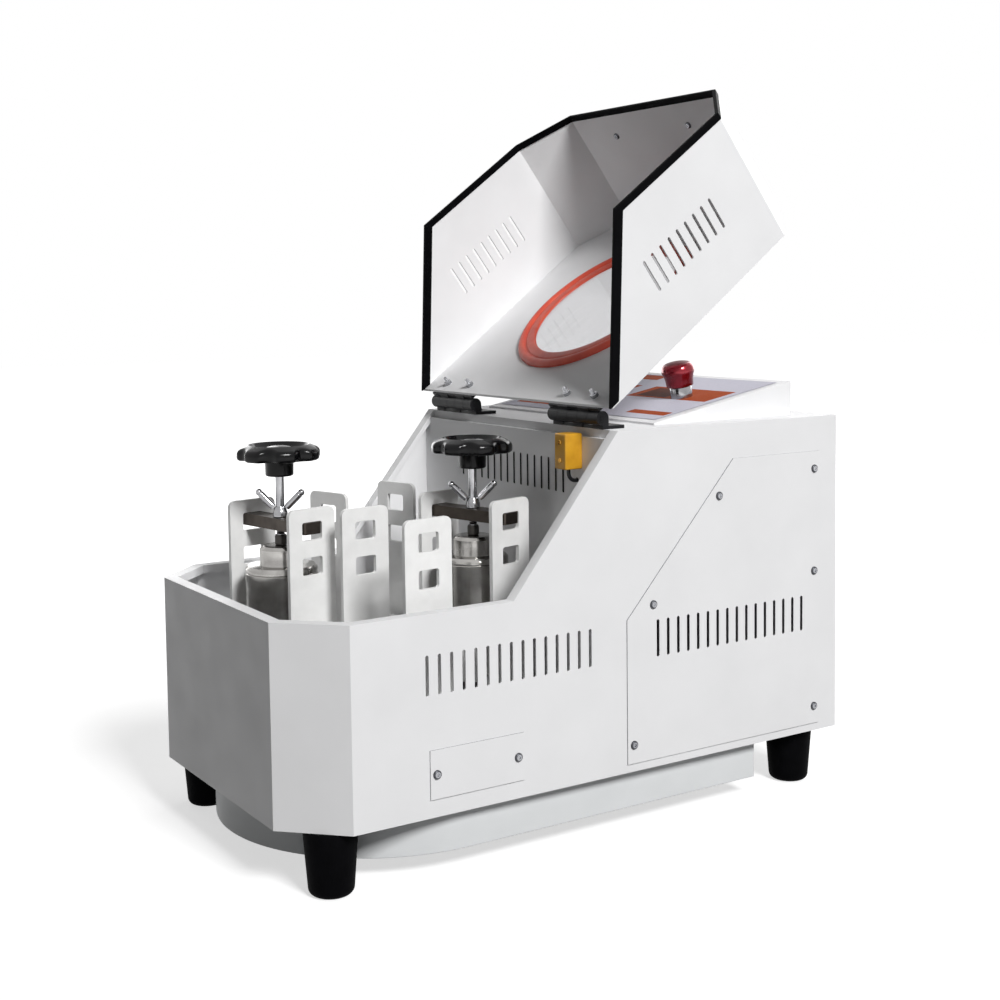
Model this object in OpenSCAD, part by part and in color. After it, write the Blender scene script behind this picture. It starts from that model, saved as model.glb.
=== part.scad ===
// Planetary ball mill for the lab bench, with its lid standing open.
// Millimetres, +Z up, the front of the mill towards -Y.
// The origin is on the table, under the middle of the mill.
// The lid is drawn closed and then turned back about its hinge axis.

/* [Body] */
// Length of the casing, front to back
body_l = 750; // [700:1:850]
// Width of the casing
body_w = 428; // [424:1:460]
// Height of the casing's underside above the table
stand_h = 72; // [68:1:90]
// Height of the well's rim above the table
rim_h = 292; // [280:1:310]
// Height of the casing's top above the table
top_h = 470; // [466:1:500]
// Leg of the two bevelled front corners
chamfer = 62; // [50:1:70]
// Distance from the front to the foot of the side slants
slant_low = 262; // [240:1:280]
// Distance from the front to the head of the side slants
slant_high = 406; // [404:1:425]
// Thickness of the sheet metal
sheet = 2; // [1.5:0.1:2.5]
// Width of the folded flange round the well
rim_w = 15; // [12:1:18]
// Depth of the lip under that flange
lip_h = 10; // [6:1:14]
// Width of the flange under the casing
foot_flange_w = 12; // [10:1:14]
// Thickness of the floor plate
floor_t = 6; // [5:0.5:8]
// Distance from the front to the well's back wall
back_wall_at = 400; // [398:1:403]
// Distance of the rear panel's outer face from the rear end
rear_recess = 3; // [2.7:0.1:6]

/* [Belly pan and feet] */
// Radius of the belly pan's round front
pan_r = 198; // [190:1:198]
// Distance from the front to the belly pan's straight rear wall
pan_end = 627; // [600:1:660]
// Height of the belly pan's underside above the table
pan_gap = 24; // [18:1:28]
// Radius of a foot at the table
foot_r_low = 24.8; // [20:0.1:26]
// Radius of a foot at the casing
foot_r_high = 30; // [26:0.5:32]
// Rounding of a foot's lower edge
foot_edge_r = 8; // [4:0.5:10]
// Distance of the front feet from the middle
front_foot_x = 172; // [170:1:176]
// Distance of the front feet from the front
front_foot_at = 56; // [52:1:58]
// Distance of the rear feet from the middle
rear_foot_x = 170; // [160:1:176]
// Distance of the rear feet from the rear end
rear_foot_at = 39; // [36:1:60]

/* [Slots and covers] */
// Width of a vent slot
slot_w = 4; // [3:0.5:5]
// Number of slots in the front group of a side
front_slots = 15; // [10:1:15]
// Distance from the front to that group's first slot
front_slots_at = 152; // [145:1:160]
// Number of slots in a side cover
cover_slots = 16; // [10:1:16]
// Distance from the front to the cover's first slot
cover_slots_at = 461.5; // [458:0.5:465]
// Number of slots in the back wall
wall_slots = 16; // [10:1:18]
// Number of slots in a side of the lid
lid_slots = 9; // [5:1:9]
// Distance between slots
slot_pitch = 15.2; // [14:0.1:15.3]
// Height of the front group's lower ends above the table
front_slot_z = 204; // [195:1:210]
// Height of the cover slots' lower ends above the table
cover_slot_z = 203; // [195:1:210]
// Length of a casing slot
side_slot_h = 44; // [36:1:48]
// Height of the back wall slots' lower ends above the table
wall_slot_z = 390; // [380:1:400]
// Length of a back wall slot
wall_slot_h = 40; // [30:1:46]
// Thickness of the side covers and hatches
cover_t = 1.5; // [1:0.1:2]
// Distance from the front to the side cover's front edge
cover_front = 416.5; // [412:0.5:425]
// Distance from the front to the cover's upper bevelled corner
cover_bevel_at = 577.8; // [560:0.5:590]
// Distance from the front to the cover's rear edge
cover_back = 720; // [712:1:728]
// Height of the cover's lower edge above the table
cover_low = 82; // [80:1:90]
// Height of the cover's front corner above the table
cover_shoulder = 251; // [240:1:260]
// Height of the cover's upper edge above the table
cover_high = 427; // [415:1:440]
// Width of the casing's land behind the cover's edges
cover_land = 25; // [22:1:28]
// Distance from the front to the hatch
hatch_at = 153.5; // [145:0.5:160]
// Length of the hatch
hatch_l = 119.5; // [100:0.5:125]
// Height of the hatch's lower edge above the table
hatch_low = 92; // [85:1:100]
// Height of the hatch
hatch_h = 53.5; // [45:0.5:60]
// Radius of a cover screw's head
screw_head_r = 5; // [4:0.1:5.5]
// Height of a cover screw's head
screw_head_h = 2.5; // [2:0.1:2.6]
// Radius of a cover screw's shank
screw_r = 2.5; // [2:0.1:3]

/* [Lid] */
// Angle to which the lid stands open
lid_open = 143; // [60:1:143]
// Distance of the lid's front from the casing's front
lid_inset = 10; // [8:1:16]
// Gap between the lid's metal edge and the casing's flange
seam = 4; // [3.5:0.1:5]
// Thickness of the lid's sheet
lid_t = 2; // [1.5:0.1:2.5]
// Height of the lid slots' lower ends above the table, lid closed
lid_slot_z = 364; // [350:1:375]
// Length of a lid slot
lid_slot_h = 42; // [30:1:48]
// Distance from the front to the lid's first slot
lid_slots_at = 143.5; // [135:0.5:150]
// Outer radius of the window's ring
ring_r = 130; // [120:1:135]
// Width of the window's ring
ring_w = 27; // [20:1:30]
// Depth of the window's ring below the lid's sheet
ring_h = 6; // [4:0.5:6.5]
// Thickness of the window
window_t = 4; // [3:0.5:5]
// Grip of the edge trim on the lid's metal edges
trim_grip = 5; // [3:0.5:8]
// Wall of the edge trim beside the metal
trim_wall = 1.2; // [0.8:0.1:1.4]
// Grip of the trim on the lid's slanted edges
slant_grip = 8; // [4:0.5:10]

/* [Lid handle and hinges] */
// Distance between the handle's posts
handle_l = 150; // [120:1:180]
// Reach of the handle in front of the lid
handle_reach = 34; // [26:1:44]
// Radius of the handle's bar
handle_r = 6; // [5:0.5:8]
// Height of the handle above the lid's lower edge
handle_up = 37.5; // [30:0.5:60]
// Distance of the hinge axis from the front
hinge_at = 404.2; // [403:0.1:406]
// Height of the hinge axis above the casing's top
hinge_up = 13.1; // [13:0.1:16]
// Distance from the middle to the inner end of a hinge
hinge_x = 88; // [70:1:95]
// Length of a hinge
hinge_l = 100; // [80:1:110]
// Outer radius of the hinge barrels
barrel_r = 8.5; // [7.5:0.1:8.8]
// Radius of a hinge pin
pin_r = 3.5; // [2.5:0.1:4]
// Thickness of the hinge leaves
leaf_t = 4; // [3:0.1:4.2]
// Distance from the hinge axis to the far edge of a leaf
leaf_reach = 31; // [26:1:34]
// Distance between a leaf's two bolts
leaf_bolt_gap = 55; // [40:1:60]

/* [Gear train] */
// Module of the gears
gear_m = 3; // [2.9:0.05:3]
// Teeth of the fixed sun gear
sun_n = 30; // [28:1:30]
// Teeth of an idler gear
idler_n = 16; // [15:1:16]
// Teeth of a planet gear
planet_n = 15; // [14:1:15]
// Width of the gears
gear_w = 16; // [12:1:16]
// Half of the backlash, at each flank of a tooth
backlash = 0.15; // [0.1:0.01:0.2]
// Distance from the front to the sun axis
sun_at = 211; // [209:0.5:212]
// Radius of the sun disc
disc_r = 187; // [180:1:188]
// Thickness of the sun disc
disc_t = 12; // [10:1:14]
// Height of the sun disc's underside above the floor plate
disc_up = 70; // [68:1:76]
// Radius of the main shaft
shaft_r = 15; // [12:1:18]
// Radius of the bearing housing's tube
housing_r = 45; // [40:1:48]
// Radius of the bearing housing's flange
housing_flange_r = 90; // [80:1:100]
// Height of the bearing housing
housing_h = 42; // [40:1:44]
// Radial clearance of a shaft in its bearing
run_gap = 0.05; // [0.03:0.01:0.08]

/* [Drive] */
// Distance between the sun axis and the motor axis
drive_l = 320; // [310:1:335]
// Radius at which the belt runs on the driven pulley
big_pulley_r = 80; // [70:1:90]
// Radius at which the belt runs on the motor pulley
small_pulley_r = 32; // [28:1:40]
// Height of the belt
belt_h = 14; // [10:1:16]
// Thickness of the belt
belt_t = 7; // [5:0.5:8]
// Height of the pulleys' cheeks beyond the belt
cheek_h = 5; // [4:0.5:6]
// Radius of the motor's body
motor_r = 75; // [65:1:80]
// Height of the motor's body
motor_h = 215; // [180:1:240]
// Radius of the motor's shaft
motor_shaft_r = 12; // [9:0.5:14]

/* [Stations] */
// Angles of the stations about the sun axis
station_turn = 251; // [240:1:260]
// Distance between the two ears of a jar holder, middle to middle
ear_gap = 118; // [116:1:120]
// Width of an ear
ear_w = 64; // [60:1:66]
// Thickness of an ear
ear_t = 5; // [4:0.5:6]
// Height of the ears' tops above the table
ear_top = 385.7; // [375:0.5:390]
// Radius of an ear's upper corners
ear_corner_r = 8; // [5:1:10]
// Width of a window in an ear
ear_window_w = 28; // [27:1:34]
// Height of a window in an ear
ear_window_h = 21; // [20:1:24]
// Distance from an ear's top to its upper window
ear_window_top = 15.5; // [12:0.5:18]
// Distance between an ear's two windows
ear_window_gap = 19.5; // [15:0.5:24]
// Outer radius of a holder's seat cup
cup_r = 46; // [45:0.5:50]
// Radius of a holder's seat
seat_r = 42.5; // [42.5:0.1:43]
// Depth of a holder's seat
seat_h = 38; // [30:1:50]
// Thickness of a holder's base
base_t = 10; // [8:1:12]
// Radius of a planet spindle
spindle_r = 10; // [8:0.5:11]
// Outer radius of a planet bearing
planet_bearing_r = 21; // [19:0.5:22]

/* [Jars and clamps] */
// Radius of a jar
jar_r = 42; // [40:0.5:42]
// Height of a jar, seat to shoulder
jar_h = 136; // [120:1:140]
// Thickness of a jar's wall
jar_wall = 6; // [4:0.5:8]
// Radius of a jar lid's raised boss
boss_r = 25; // [20:1:30]
// Height of a jar lid's raised boss
boss_h = 23; // [18:1:24]
// Width of a clamp bar
bar_w = 24; // [20:0.5:25]
// Thickness of a clamp bar
bar_t = 14; // [12:0.5:15]
// Length of a clamp bar
bar_l = 127; // [126:1:132]
// Radius of a clamp screw
clamp_r = 5; // [4:0.25:6]
// Radius of a pressure pad
pad_r = 7; // [6.5:0.5:12]
// Height of a pressure pad
pad_h = 12; // [6:0.5:13]
// Radius of a lock nut's hub
nut_r = 8.5; // [8:0.5:10]
// Height of a lock nut's hub
nut_h = 12; // [8:1:14]
// Radius of a lock nut's two levers
lever_r = 4; // [3:0.25:4.5]
// Length of a lock nut's levers
lever_l = 32; // [24:1:34]
// Radius of a handwheel, lobes included
wheel_r = 49; // [44:0.5:52]
// Depth of the hollows between a handwheel's lobes
lobe_dip = 5; // [3:0.5:6]
// Number of lobes on a handwheel
lobes = 7; // [5:1:9]
// Height of a handwheel's rim
wheel_h = 18; // [14:0.5:19]
// Height of a handwheel's rim above the ears' tops
wheel_up = 51.6; // [50:0.1:53]
// Radius of a handwheel's hub
wheel_hub_r = 16.5; // [14:0.5:18]
// Height of a handwheel's hub below the rim
wheel_hub_h = 19; // [16:0.5:22]

/* [Console] */
// Half of the console's width
console_x = 182; // [170:1:190]
// Distance from the front to the console's front edge
console_at = 484; // [480:1:490]
// Length of the console
console_l = 219; // [205:1:225]
// Height of the console's front edge
console_low = 2.5; // [2.2:0.1:5]
// Height of the console's rear edge
console_high = 43; // [36:1:48]
// Thickness of the console's printed film
film_t = 0.6; // [0.4:0.1:1]
// Distance of the film from the console's edges
film_inset = 12; // [8:1:16]
// Distance of the stop button from the middle
stop_x = 98; // [80:1:120]
// Distance of the stop button from the console's front edge, along the slope
stop_up = 114; // [100:1:125]
// Radius of the stop button
stop_r = 21; // [18:0.5:24]
// Height of the stop button
stop_h = 28; // [24:1:30]
// Radius of the collar below the stop button
collar_r = 14; // [12:0.5:17]
// Height of that collar
collar_h = 15; // [12:1:18]

/* [Safety sensor] */
// Distance from the middle to the sensor's near side
sensor_x = 131; // [125:1:135]
// Width of the sensor
sensor_w = 22.6; // [20:0.2:25]
// Depth of the sensor
sensor_l = 24.4; // [20:0.2:26]
// Height of the sensor
sensor_h = 42; // [36:1:44]
// Height of the sensor's lower end above the table
sensor_z = 422; // [418:1:423]
// Radius of the sensor's lead
lead_r = 2.5; // [2:0.1:3]
// Radius of the bend in that lead
lead_bend = 9; // [8:0.5:11]

/* [Rear panel] */
// Width of the power inlet
inlet_w = 34; // [30:1:40]
// Height of the power inlet with its switch
inlet_h = 78; // [72:1:84]
// Distance of the power inlet from the middle
inlet_x = 150; // [120:1:160]
// Height of the power inlet's middle above the table
inlet_z = 130; // [125:1:200]
// Depth of the power inlet behind the panel
inlet_l = 32; // [26:1:40]
// Width of the inverter
inverter_w = 120; // [100:1:140]
// Height of the inverter
inverter_h = 170; // [150:1:190]
// Depth of the inverter
inverter_l = 70; // [50:1:80]

/* [Hidden] */
$fn = 64;

// Overrun of the cuts, gap between moving pieces, gap beside covers, and gap of a seated ring
cut = 8;
free = 0.3;
lay_gap = 0.5;
fit_gap = 0.05;

// Places along the mill
front = -body_l / 2;
back = body_l / 2;
sun_y = front + sun_at;
motor_y = sun_y + drive_l;
hinge_y = front + hinge_at;
hinge_z = top_h + hinge_up;
wall_y = front + back_wall_at;
rear_y = back - rear_recess;

// Heights of the floor plate, the gears and the sun disc
floor_z = stand_h + sheet;
floor_top = floor_z + floor_t;
disc_z = floor_top + disc_up;
disc_top = disc_z + disc_t;
housing_top = floor_top + housing_h;
gear_lift = 2;
gear_z = housing_top + gear_lift;
gear_top = gear_z + gear_w;

// Gears
pressure_angle = 20;
addendum_share = 0.95;
dedendum_share = 1.2;
idler_at_r = gear_m * (sun_n + idler_n) / 2;
planet_at_r = gear_m * (sun_n / 2 + idler_n + planet_n / 2);
// Direction of the line from ear to ear in each holder, as the mill stopped
holder_turns = [11, 7.5, 14.4, 106.7];
// Direction of each lock nut's levers
lever_turns = [48, 0, 62, 0];

// Bearings, shafts and the carrier
bearing_r = 31;
bearing_h = 16;
housing_flange_t = 10;
idler_pin_r = 8;
idler_boss_r = 12;
spindle_boss_r = 13;
spindle_tail = 4;
sun_hub_r = 30;
carrier_gap = 8;
carrier_top = gear_z - carrier_gap;
carrier_z = carrier_top - disc_t;
carrier_r = 152;
carrier_hole_r = housing_r + 7;
pillar_r = 10;
pillar_at_r = 128;
hub_gap = 2;
hub_r = 42;
shaft_nut_r = 24;
shaft_nut_h = 8;

// Pulleys and belt
pulley_up = 12;
pulley_z = pan_gap + pulley_up;
belt_z = pulley_z + cheek_h;
pulley_h = belt_h + 2 * cheek_h;
cheek_rise = belt_t + 3;
belt_ease = 0.02;
motor_flange_t = 6;
motor_flange_rise = 7;
motor_cap_h = 12;
motor_cap_share = 0.8;
motor_shaft_in = 20;
motor_box = [60, 26, 70];
inverter_gap = 6;
inverter_fin_l = 12;
inverter_fin_t = 4;
inverter_fins = 8;

// Holders, jars and clamps
base_gap = 6;
base_z = disc_top + base_gap;
seat_z = base_z + base_t;
base_l = ear_gap - ear_t - 2 * fit_gap;
base_hub_r = 18;
ear_screw_r = 4;
ear_screw_h = 2;
window_edge_r = 3;
jar_lid_t = 8;
jar_plug_h = 6;
boss_z = seat_z + jar_h;
jar_top = boss_z + boss_h;
boss_bevel = 4;
shoulder_bevel = 3;
bar_top = ear_top - ear_window_top - free;
bar_z = bar_top - bar_t;
bar_bevel = 2;
wheel_z = ear_top + wheel_up;
wheel_top = wheel_z + wheel_h;
pad_z = jar_top + free;
pad_bore_h = pad_h / 2;
lobe_cut_r = 13;
wheel_dish_r = 33;
wheel_dish_h = 6;
wheel_dome_r = 17;
wheel_dome_h = 4;
lever_root_share = 0.35;

// Slots and screws of the casing
screw_hole_r = screw_r + free;
screw_grip = sheet + cover_t + 4;
screw_inset = 9;
screw_rise = 22;
slant_screw_shares = [0.152, 0.803];
slant_screw_insets = [18.5, 12.5];
hatch_screw_inset = 8;
hatch_land = 14;
rear_screw_inset = 8;
panel_return = 14;

// Rear panel and power inlet
rear_x = body_w / 2 - sheet - free;
rear_z0 = floor_top + free;
wall_top = top_h - lip_h;
rear_z1 = top_h - sheet - free;
inlet_lip = 3;
inlet_lip_t = 2;
socket_w = 22;
socket_h = 15;
socket_l = 18;
socket_drop = 17;
blade_w = 2;
blade_h = 4;
blade_l = 14;
blade_gap = 7;
switch_w = 18;
switch_h = 24;
switch_rise = 18;
switch_turn = 10;
switch_pivot_in = 6;
switch_face_out = 0.3;
switch_edge_share = 0.9;
switch_pin_r = 1.5;
switch_pin_l = 2;

// Console, stop button, sensor
slope = atan((console_high - console_low) / console_l);
console_y = front + console_at;
film_l = console_l / cos(slope) - 2 * film_inset;
stem_r = 8;
stem_in = 12;
stop_travel = 4;
stop_neck_share = 0.83;
stop_skirt_share = 0.58;
stop_edge_r = 5.5;
collar_bevel = 1.5;
lead_drop = 5;
lead_x = sensor_x + sensor_w / 2;
lead_y = wall_y - sensor_l / 2;
lead_z = sensor_z - lead_drop - lead_bend;
lead_in = 10;
sensor_rim = 3;
sensor_dip = 1.5;
sensor_lug_r = 3.2;
sensor_lug_h = 1.5;

// Lid, hinges and handle
lid_front = front + lid_inset;
lid_low = rim_h + seam;
leaf_gap = 1;
knuckles = 5;
leaf_bolt_r = 2.5;
handle_screw_r = 2.5;
leaf_bolt_head_r = 4.5;
leaf_bolt_head_h = 2.8;
lid_nut_r = 5;
lid_nut_h = 5;
lid_stud_l = 6;
leaf_bolt_in = 19;
leaf_bolt_places = [for (s = [-1, 1], e = [-1, 1]) s * (hinge_x + hinge_l / 2) + e * leaf_bolt_gap / 2];
handle_bend = 14;
handle_foot_r = 10;
handle_foot_t = 4;
handle_screw_in = 18;
handle_z = lid_low + handle_up;

// An outline moved in by d; its points turn to the left
function unit(v) = v / norm(v);
function left(v) = [-v[1], v[0]];
function inset(points, d) =
    [for (i = [0:len(points) - 1])
        let (here = points[i],
             before = points[(i + len(points) - 1) % len(points)],
             after = points[(i + 1) % len(points)],
             n1 = left(unit(here - before)),
             n2 = left(unit(after - here)))
        here + d * (n1 + n2) / (1 + n1 * n2)];

// Outline of the casing and the lid seen from above, as points [x, y]
function plan_outline(y0, y1) =
    [[-body_w / 2 + chamfer, y0], [body_w / 2 - chamfer, y0], [body_w / 2, y0 + chamfer],
     [body_w / 2, y1], [-body_w / 2, y1], [-body_w / 2, y0 + chamfer]];

// Outline of the casing seen from the side, as points [y, z]
function side_outline(y0, y1) =
    [[y0, stand_h], [y1, stand_h], [y1, top_h], [front + slant_high, top_h],
     [front + slant_low, rim_h], [y0, rim_h]];

function cover_outline() =
    [[front + cover_front, cover_low], [front + cover_back, cover_low],
     [front + cover_back, cover_high], [front + cover_bevel_at, cover_high],
     [front + cover_front, cover_shoulder]];

// The lid's outline from the side, closed, with its edges clear of the casing's flange
slant_run = unit([slant_high - slant_low, top_h - rim_h]);
function lid_outline(rim_gap, slant_gap) =
    let (start = [front + slant_low, rim_h] + slant_gap * left(slant_run),
         low = rim_h + rim_gap,
         heel = start + (low - start[1]) / slant_run[1] * slant_run,
         head = start + (top_h - start[1]) / slant_run[1] * slant_run)
    [[lid_front - cut, low], heel, head, [lid_front - cut, top_h]];

// Places of the screws in one side of the casing, as points [y, z]
cover_edge = [cover_bevel_at - cover_front, cover_high - cover_shoulder];
side_screw_places = concat(
    [[front + cover_front + screw_inset, cover_low + screw_rise]],
    [for (i = [0, 1])
        [front + cover_front, cover_shoulder] + slant_screw_shares[i] * cover_edge
            - slant_screw_insets[i] * left(unit(cover_edge))],
    [for (z = [cover_low + screw_rise, (cover_low + cover_high) / 2 + screw_rise, cover_high - screw_rise])
        [front + cover_back - screw_inset, z]],
    [for (y = [hatch_screw_inset, hatch_l - hatch_screw_inset])
        [front + hatch_at + y, hatch_low + hatch_h / 2]]);
rear_screw_places = [for (x = [-1, 0, 1], z = [rear_z0 + rear_screw_inset, rear_z1 - rear_screw_inset])
    [x * (rear_x - rear_screw_inset), z]];

// Extrudes an outline of points [y, z] across the mill
module across(w) {
    rotate([90, 0, 90]) linear_extrude(w, center = true) children();
}

// Extrudes an outline of points [x, z] along the mill
module lengthwise(y0, l) {
    translate([0, y0, 0]) rotate([90, 0, 0]) translate([0, 0, -l]) linear_extrude(l) children();
}

module slab(z0, z1) {
    translate([0, 0, z0]) linear_extrude(z1 - z0) children();
}

module block(x0, x1, y0, y1, z0, z1) {
    translate([x0, y0, z0]) cube([x1 - x0, y1 - y0, z1 - z0]);
}

module disc(r, z0, z1) {
    translate([0, 0, z0]) cylinder(h = z1 - z0, r = r);
}

module ring(r, hole_r, z0, z1) {
    difference() {
        disc(r, z0, z1);
        disc(hole_r, z0 - cut, z1 + cut);
    }
}

module both_sides() {
    children();
    mirror([1, 0, 0]) children();
}

// A row of upright slots with round ends
module slot_row(first, count, z0, h) {
    for (i = [0:count - 1])
        translate([first + i * slot_pitch, z0 + slot_w / 2]) {
            translate([-slot_w / 2, 0]) square([slot_w, h - slot_w]);
            circle(slot_w / 2, $fn = 24);
            translate([0, h - slot_w]) circle(slot_w / 2, $fn = 24);
        }
}

module rounded_window(w, h, r) {
    for (x = [r - w / 2, w / 2 - r], y = [r, h - r]) translate([x, y]) circle(r, $fn = 24);
    translate([-w / 2, r]) square([w, h - 2 * r]);
    translate([r - w / 2, 0]) square([w - 2 * r, h]);
}

// A screw with a domed head that sits on z = 0
module domed_screw(head_r, head_h, shank_r, grip) {
    ball_r = (head_r * head_r + head_h * head_h) / (2 * head_h);
    translate([0, 0, -grip]) cylinder(h = grip, r = shank_r);
    intersection() {
        cylinder(h = head_h, r = head_r);
        translate([0, 0, head_h - ball_r]) sphere(ball_r);
    }
}

module casing() color("white") {
    difference() {
        intersection() {
            slab(stand_h, top_h) polygon(plan_outline(front, back));
            across(body_w) polygon(side_outline(front, back));
        }
        intersection() {
            slab(stand_h + sheet, top_h) polygon(inset(plan_outline(front, back + cut), sheet));
            across(body_w) polygon(inset(side_outline(front - cut, back + cut), sheet));
        }
        // The mouth of the well, and the opening inside the flange below
        slab(rim_h - 2 * sheet, top_h + cut)
            polygon(inset(plan_outline(front, front + slant_high + rim_w), rim_w));
        slab(stand_h - cut, stand_h + 2 * sheet)
            polygon(inset(plan_outline(front, back), foot_flange_w));
        // Openings behind the side covers and hatches, and the front slots
        across(body_w + cut) {
            polygon(inset(cover_outline(), cover_land));
            translate([front + hatch_at + hatch_land, hatch_low + hatch_land])
                square([hatch_l - 2 * hatch_land, hatch_h - 2 * hatch_land]);
            side_screw_holes();
            slot_row(front + front_slots_at, front_slots, front_slot_z, side_slot_h);
        }
        fixed_leaf_screw_places() disc(screw_hole_r, -cut, cut);
    }
    // The lip folded down from the flange round the well
    intersection() {
        slab(rim_h - lip_h, top_h) difference() {
            polygon(inset(plan_outline(front, front + slant_high + rim_w), rim_w - sheet));
            polygon(inset(plan_outline(front, front + slant_high + rim_w), rim_w));
        }
        across(body_w) difference() {
            polygon(side_outline(front, back));
            translate([0, -lip_h]) polygon(side_outline(front - cut, back + cut));
            translate([wall_y - free, rim_h]) square([back - wall_y, wall_top - rim_h]);
        }
    }
}

module side_screw_holes() {
    for (p = side_screw_places) translate(p) circle(screw_hole_r, $fn = 24);
}

module fixed_leaf_screw_places() {
    for (x = leaf_bolt_places) translate([x, hinge_y + leaf_bolt_in, top_h]) children();
}

module floor_plate() color("gainsboro") {
    difference() {
        slab(floor_z, floor_top) polygon(inset(plan_outline(front, back), sheet + lay_gap));
        translate([0, sun_y, 0]) disc(shaft_r + cut, floor_z - cut, floor_top + cut);
        translate([0, motor_y, 0]) disc(motor_shaft_r + cut, floor_z - cut, floor_top + cut);
    }
}

// Straight-sided outline with a round front about the sun axis
module pan_outline(r, y1) {
    translate([0, sun_y]) circle(r);
    translate([-r, sun_y]) square([2 * r, y1 - sun_y]);
}

module belly_pan() color("lightgray") {
    pan_y = front + pan_end;
    difference() {
        slab(pan_gap, floor_z) pan_outline(pan_r, pan_y);
        slab(pan_gap + sheet, floor_z - sheet) pan_outline(pan_r - sheet, pan_y - sheet);
        slab(floor_z - 2 * sheet, floor_z + cut) pan_outline(pan_r - foot_flange_w, pan_y - foot_flange_w);
    }
}

module well_back_wall() color("whitesmoke") {
    wall_x = body_w / 2 - sheet - lay_gap;
    difference() {
        union() {
            block(-wall_x, wall_x, wall_y, wall_y + sheet, floor_top, wall_top);
            block(-wall_x, wall_x, wall_y, wall_y + 2 * panel_return, wall_top - sheet, wall_top);
            block(-wall_x, wall_x, wall_y, wall_y + panel_return, floor_top, floor_top + sheet);
            both_sides() block(wall_x - sheet, wall_x, wall_y, wall_y + panel_return, floor_top, wall_top);
        }
        lengthwise(wall_y - sheet, 3 * sheet)
            slot_row(-(wall_slots - 1) * slot_pitch / 2, wall_slots, wall_slot_z, wall_slot_h);
        translate([lead_x, wall_y, lead_z]) rotate([90, 0, 0]) disc(lead_r + free, -cut, cut);
    }
}

module rear_panel() color("whitesmoke") {
    hole_w = inlet_w - 2 * inlet_lip + 2 * free;
    hole_h = inlet_h - 2 * inlet_lip + 2 * free;
    difference() {
        union() {
            block(-rear_x, rear_x, rear_y - sheet, rear_y, rear_z0, rear_z1);
            both_sides() block(rear_x - sheet, rear_x, rear_y - panel_return, rear_y, rear_z0, rear_z1);
            block(-rear_x, rear_x, rear_y - panel_return, rear_y, rear_z0, rear_z0 + sheet);
            block(-rear_x, rear_x, rear_y - panel_return, rear_y, rear_z1 - sheet, rear_z1);
        }
        lengthwise(rear_y - 2 * sheet, 3 * sheet) {
            translate([inlet_x - hole_w / 2, inlet_z - hole_h / 2]) square([hole_w, hole_h]);
            for (p = rear_screw_places) translate(p) circle(screw_hole_r, $fn = 24);
            slot_row(-(wall_slots - 1) * slot_pitch / 2, wall_slots, wall_slot_z, wall_slot_h);
        }
    }
}

module side_covers() color("white") {
    both_sides() translate([body_w / 2 + cover_t / 2, 0, 0]) across(cover_t) difference() {
        union() {
            polygon(cover_outline());
            translate([front + hatch_at, hatch_low]) square([hatch_l, hatch_h]);
        }
        side_screw_holes();
        slot_row(front + cover_slots_at, cover_slots, cover_slot_z, side_slot_h);
    }
}

module cover_screws() color("silver") {
    both_sides() for (p = side_screw_places)
        translate([body_w / 2 + cover_t, p[0], p[1]]) rotate([0, 90, 0])
            domed_screw(screw_head_r, screw_head_h, screw_r, screw_grip);
    for (p = rear_screw_places)
        translate([p[0], rear_y, p[1]]) rotate([-90, 0, 0])
            domed_screw(screw_head_r, screw_head_h, screw_r, screw_grip);
    fixed_leaf_screw_places() translate([0, 0, leaf_t])
        domed_screw(leaf_bolt_head_r, leaf_bolt_head_h, screw_r, leaf_t + screw_grip);
}

module foot() {
    boss_r = foot_r_low / 2;
    rotate_extrude() polygon(concat(
        [[0, 0]],
        [for (a = [0:18:90])
            [foot_r_low - foot_edge_r + foot_edge_r * sin(a), foot_edge_r * (1 - cos(a))]],
        [[foot_r_high, stand_h], [boss_r, stand_h], [boss_r, floor_z], [0, floor_z]]));
}

module feet() color("#1c1c1e") {
    both_sides() {
        translate([front_foot_x, front + front_foot_at, 0]) foot();
        translate([rear_foot_x, back - rear_foot_at, 0]) foot();
    }
}

// Moves to a point of the console's slope, with +Z square to it
module on_slope(x, up) {
    translate([x, console_y, top_h + console_low]) rotate([slope, 0, 0]) translate([0, up, 0]) children();
}

module console_housing() color("white") {
    y1 = console_y + console_l;
    under = sheet / cos(slope);
    difference() {
        across(2 * console_x)
            polygon([[console_y, top_h], [y1, top_h], [y1, top_h + console_high], [console_y, top_h + console_low]]);
        across(2 * (console_x - sheet))
            polygon([[console_y + sheet, top_h - cut], [y1 - sheet, top_h - cut],
                     [y1 - sheet, top_h + console_high - under - sheet * tan(slope)],
                     [console_y + sheet, top_h + console_low - under + sheet * tan(slope)]]);
        on_slope(stop_x, stop_up) disc(stem_r + free, -cut, cut);
    }
}

module console_film() color("#c9c9d3") {
    half = console_x - film_inset;
    difference() {
        on_slope(0, film_inset) block(-half, half, 0, film_l, 0, film_t);
        on_slope(stop_x, stop_up) disc(collar_r + free, -cut, cut);
    }
}

module stop_collar() color("silver") {
    on_slope(stop_x, stop_up) difference() {
        union() {
            disc(collar_r, 0, collar_h - collar_bevel);
            translate([0, 0, collar_h - collar_bevel])
                rotate_extrude() polygon([[0, 0], [collar_r, 0], [collar_r - collar_bevel, collar_bevel], [0, collar_bevel]]);
        }
        disc(stem_r + free, -cut, collar_h + cut);
    }
}

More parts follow.
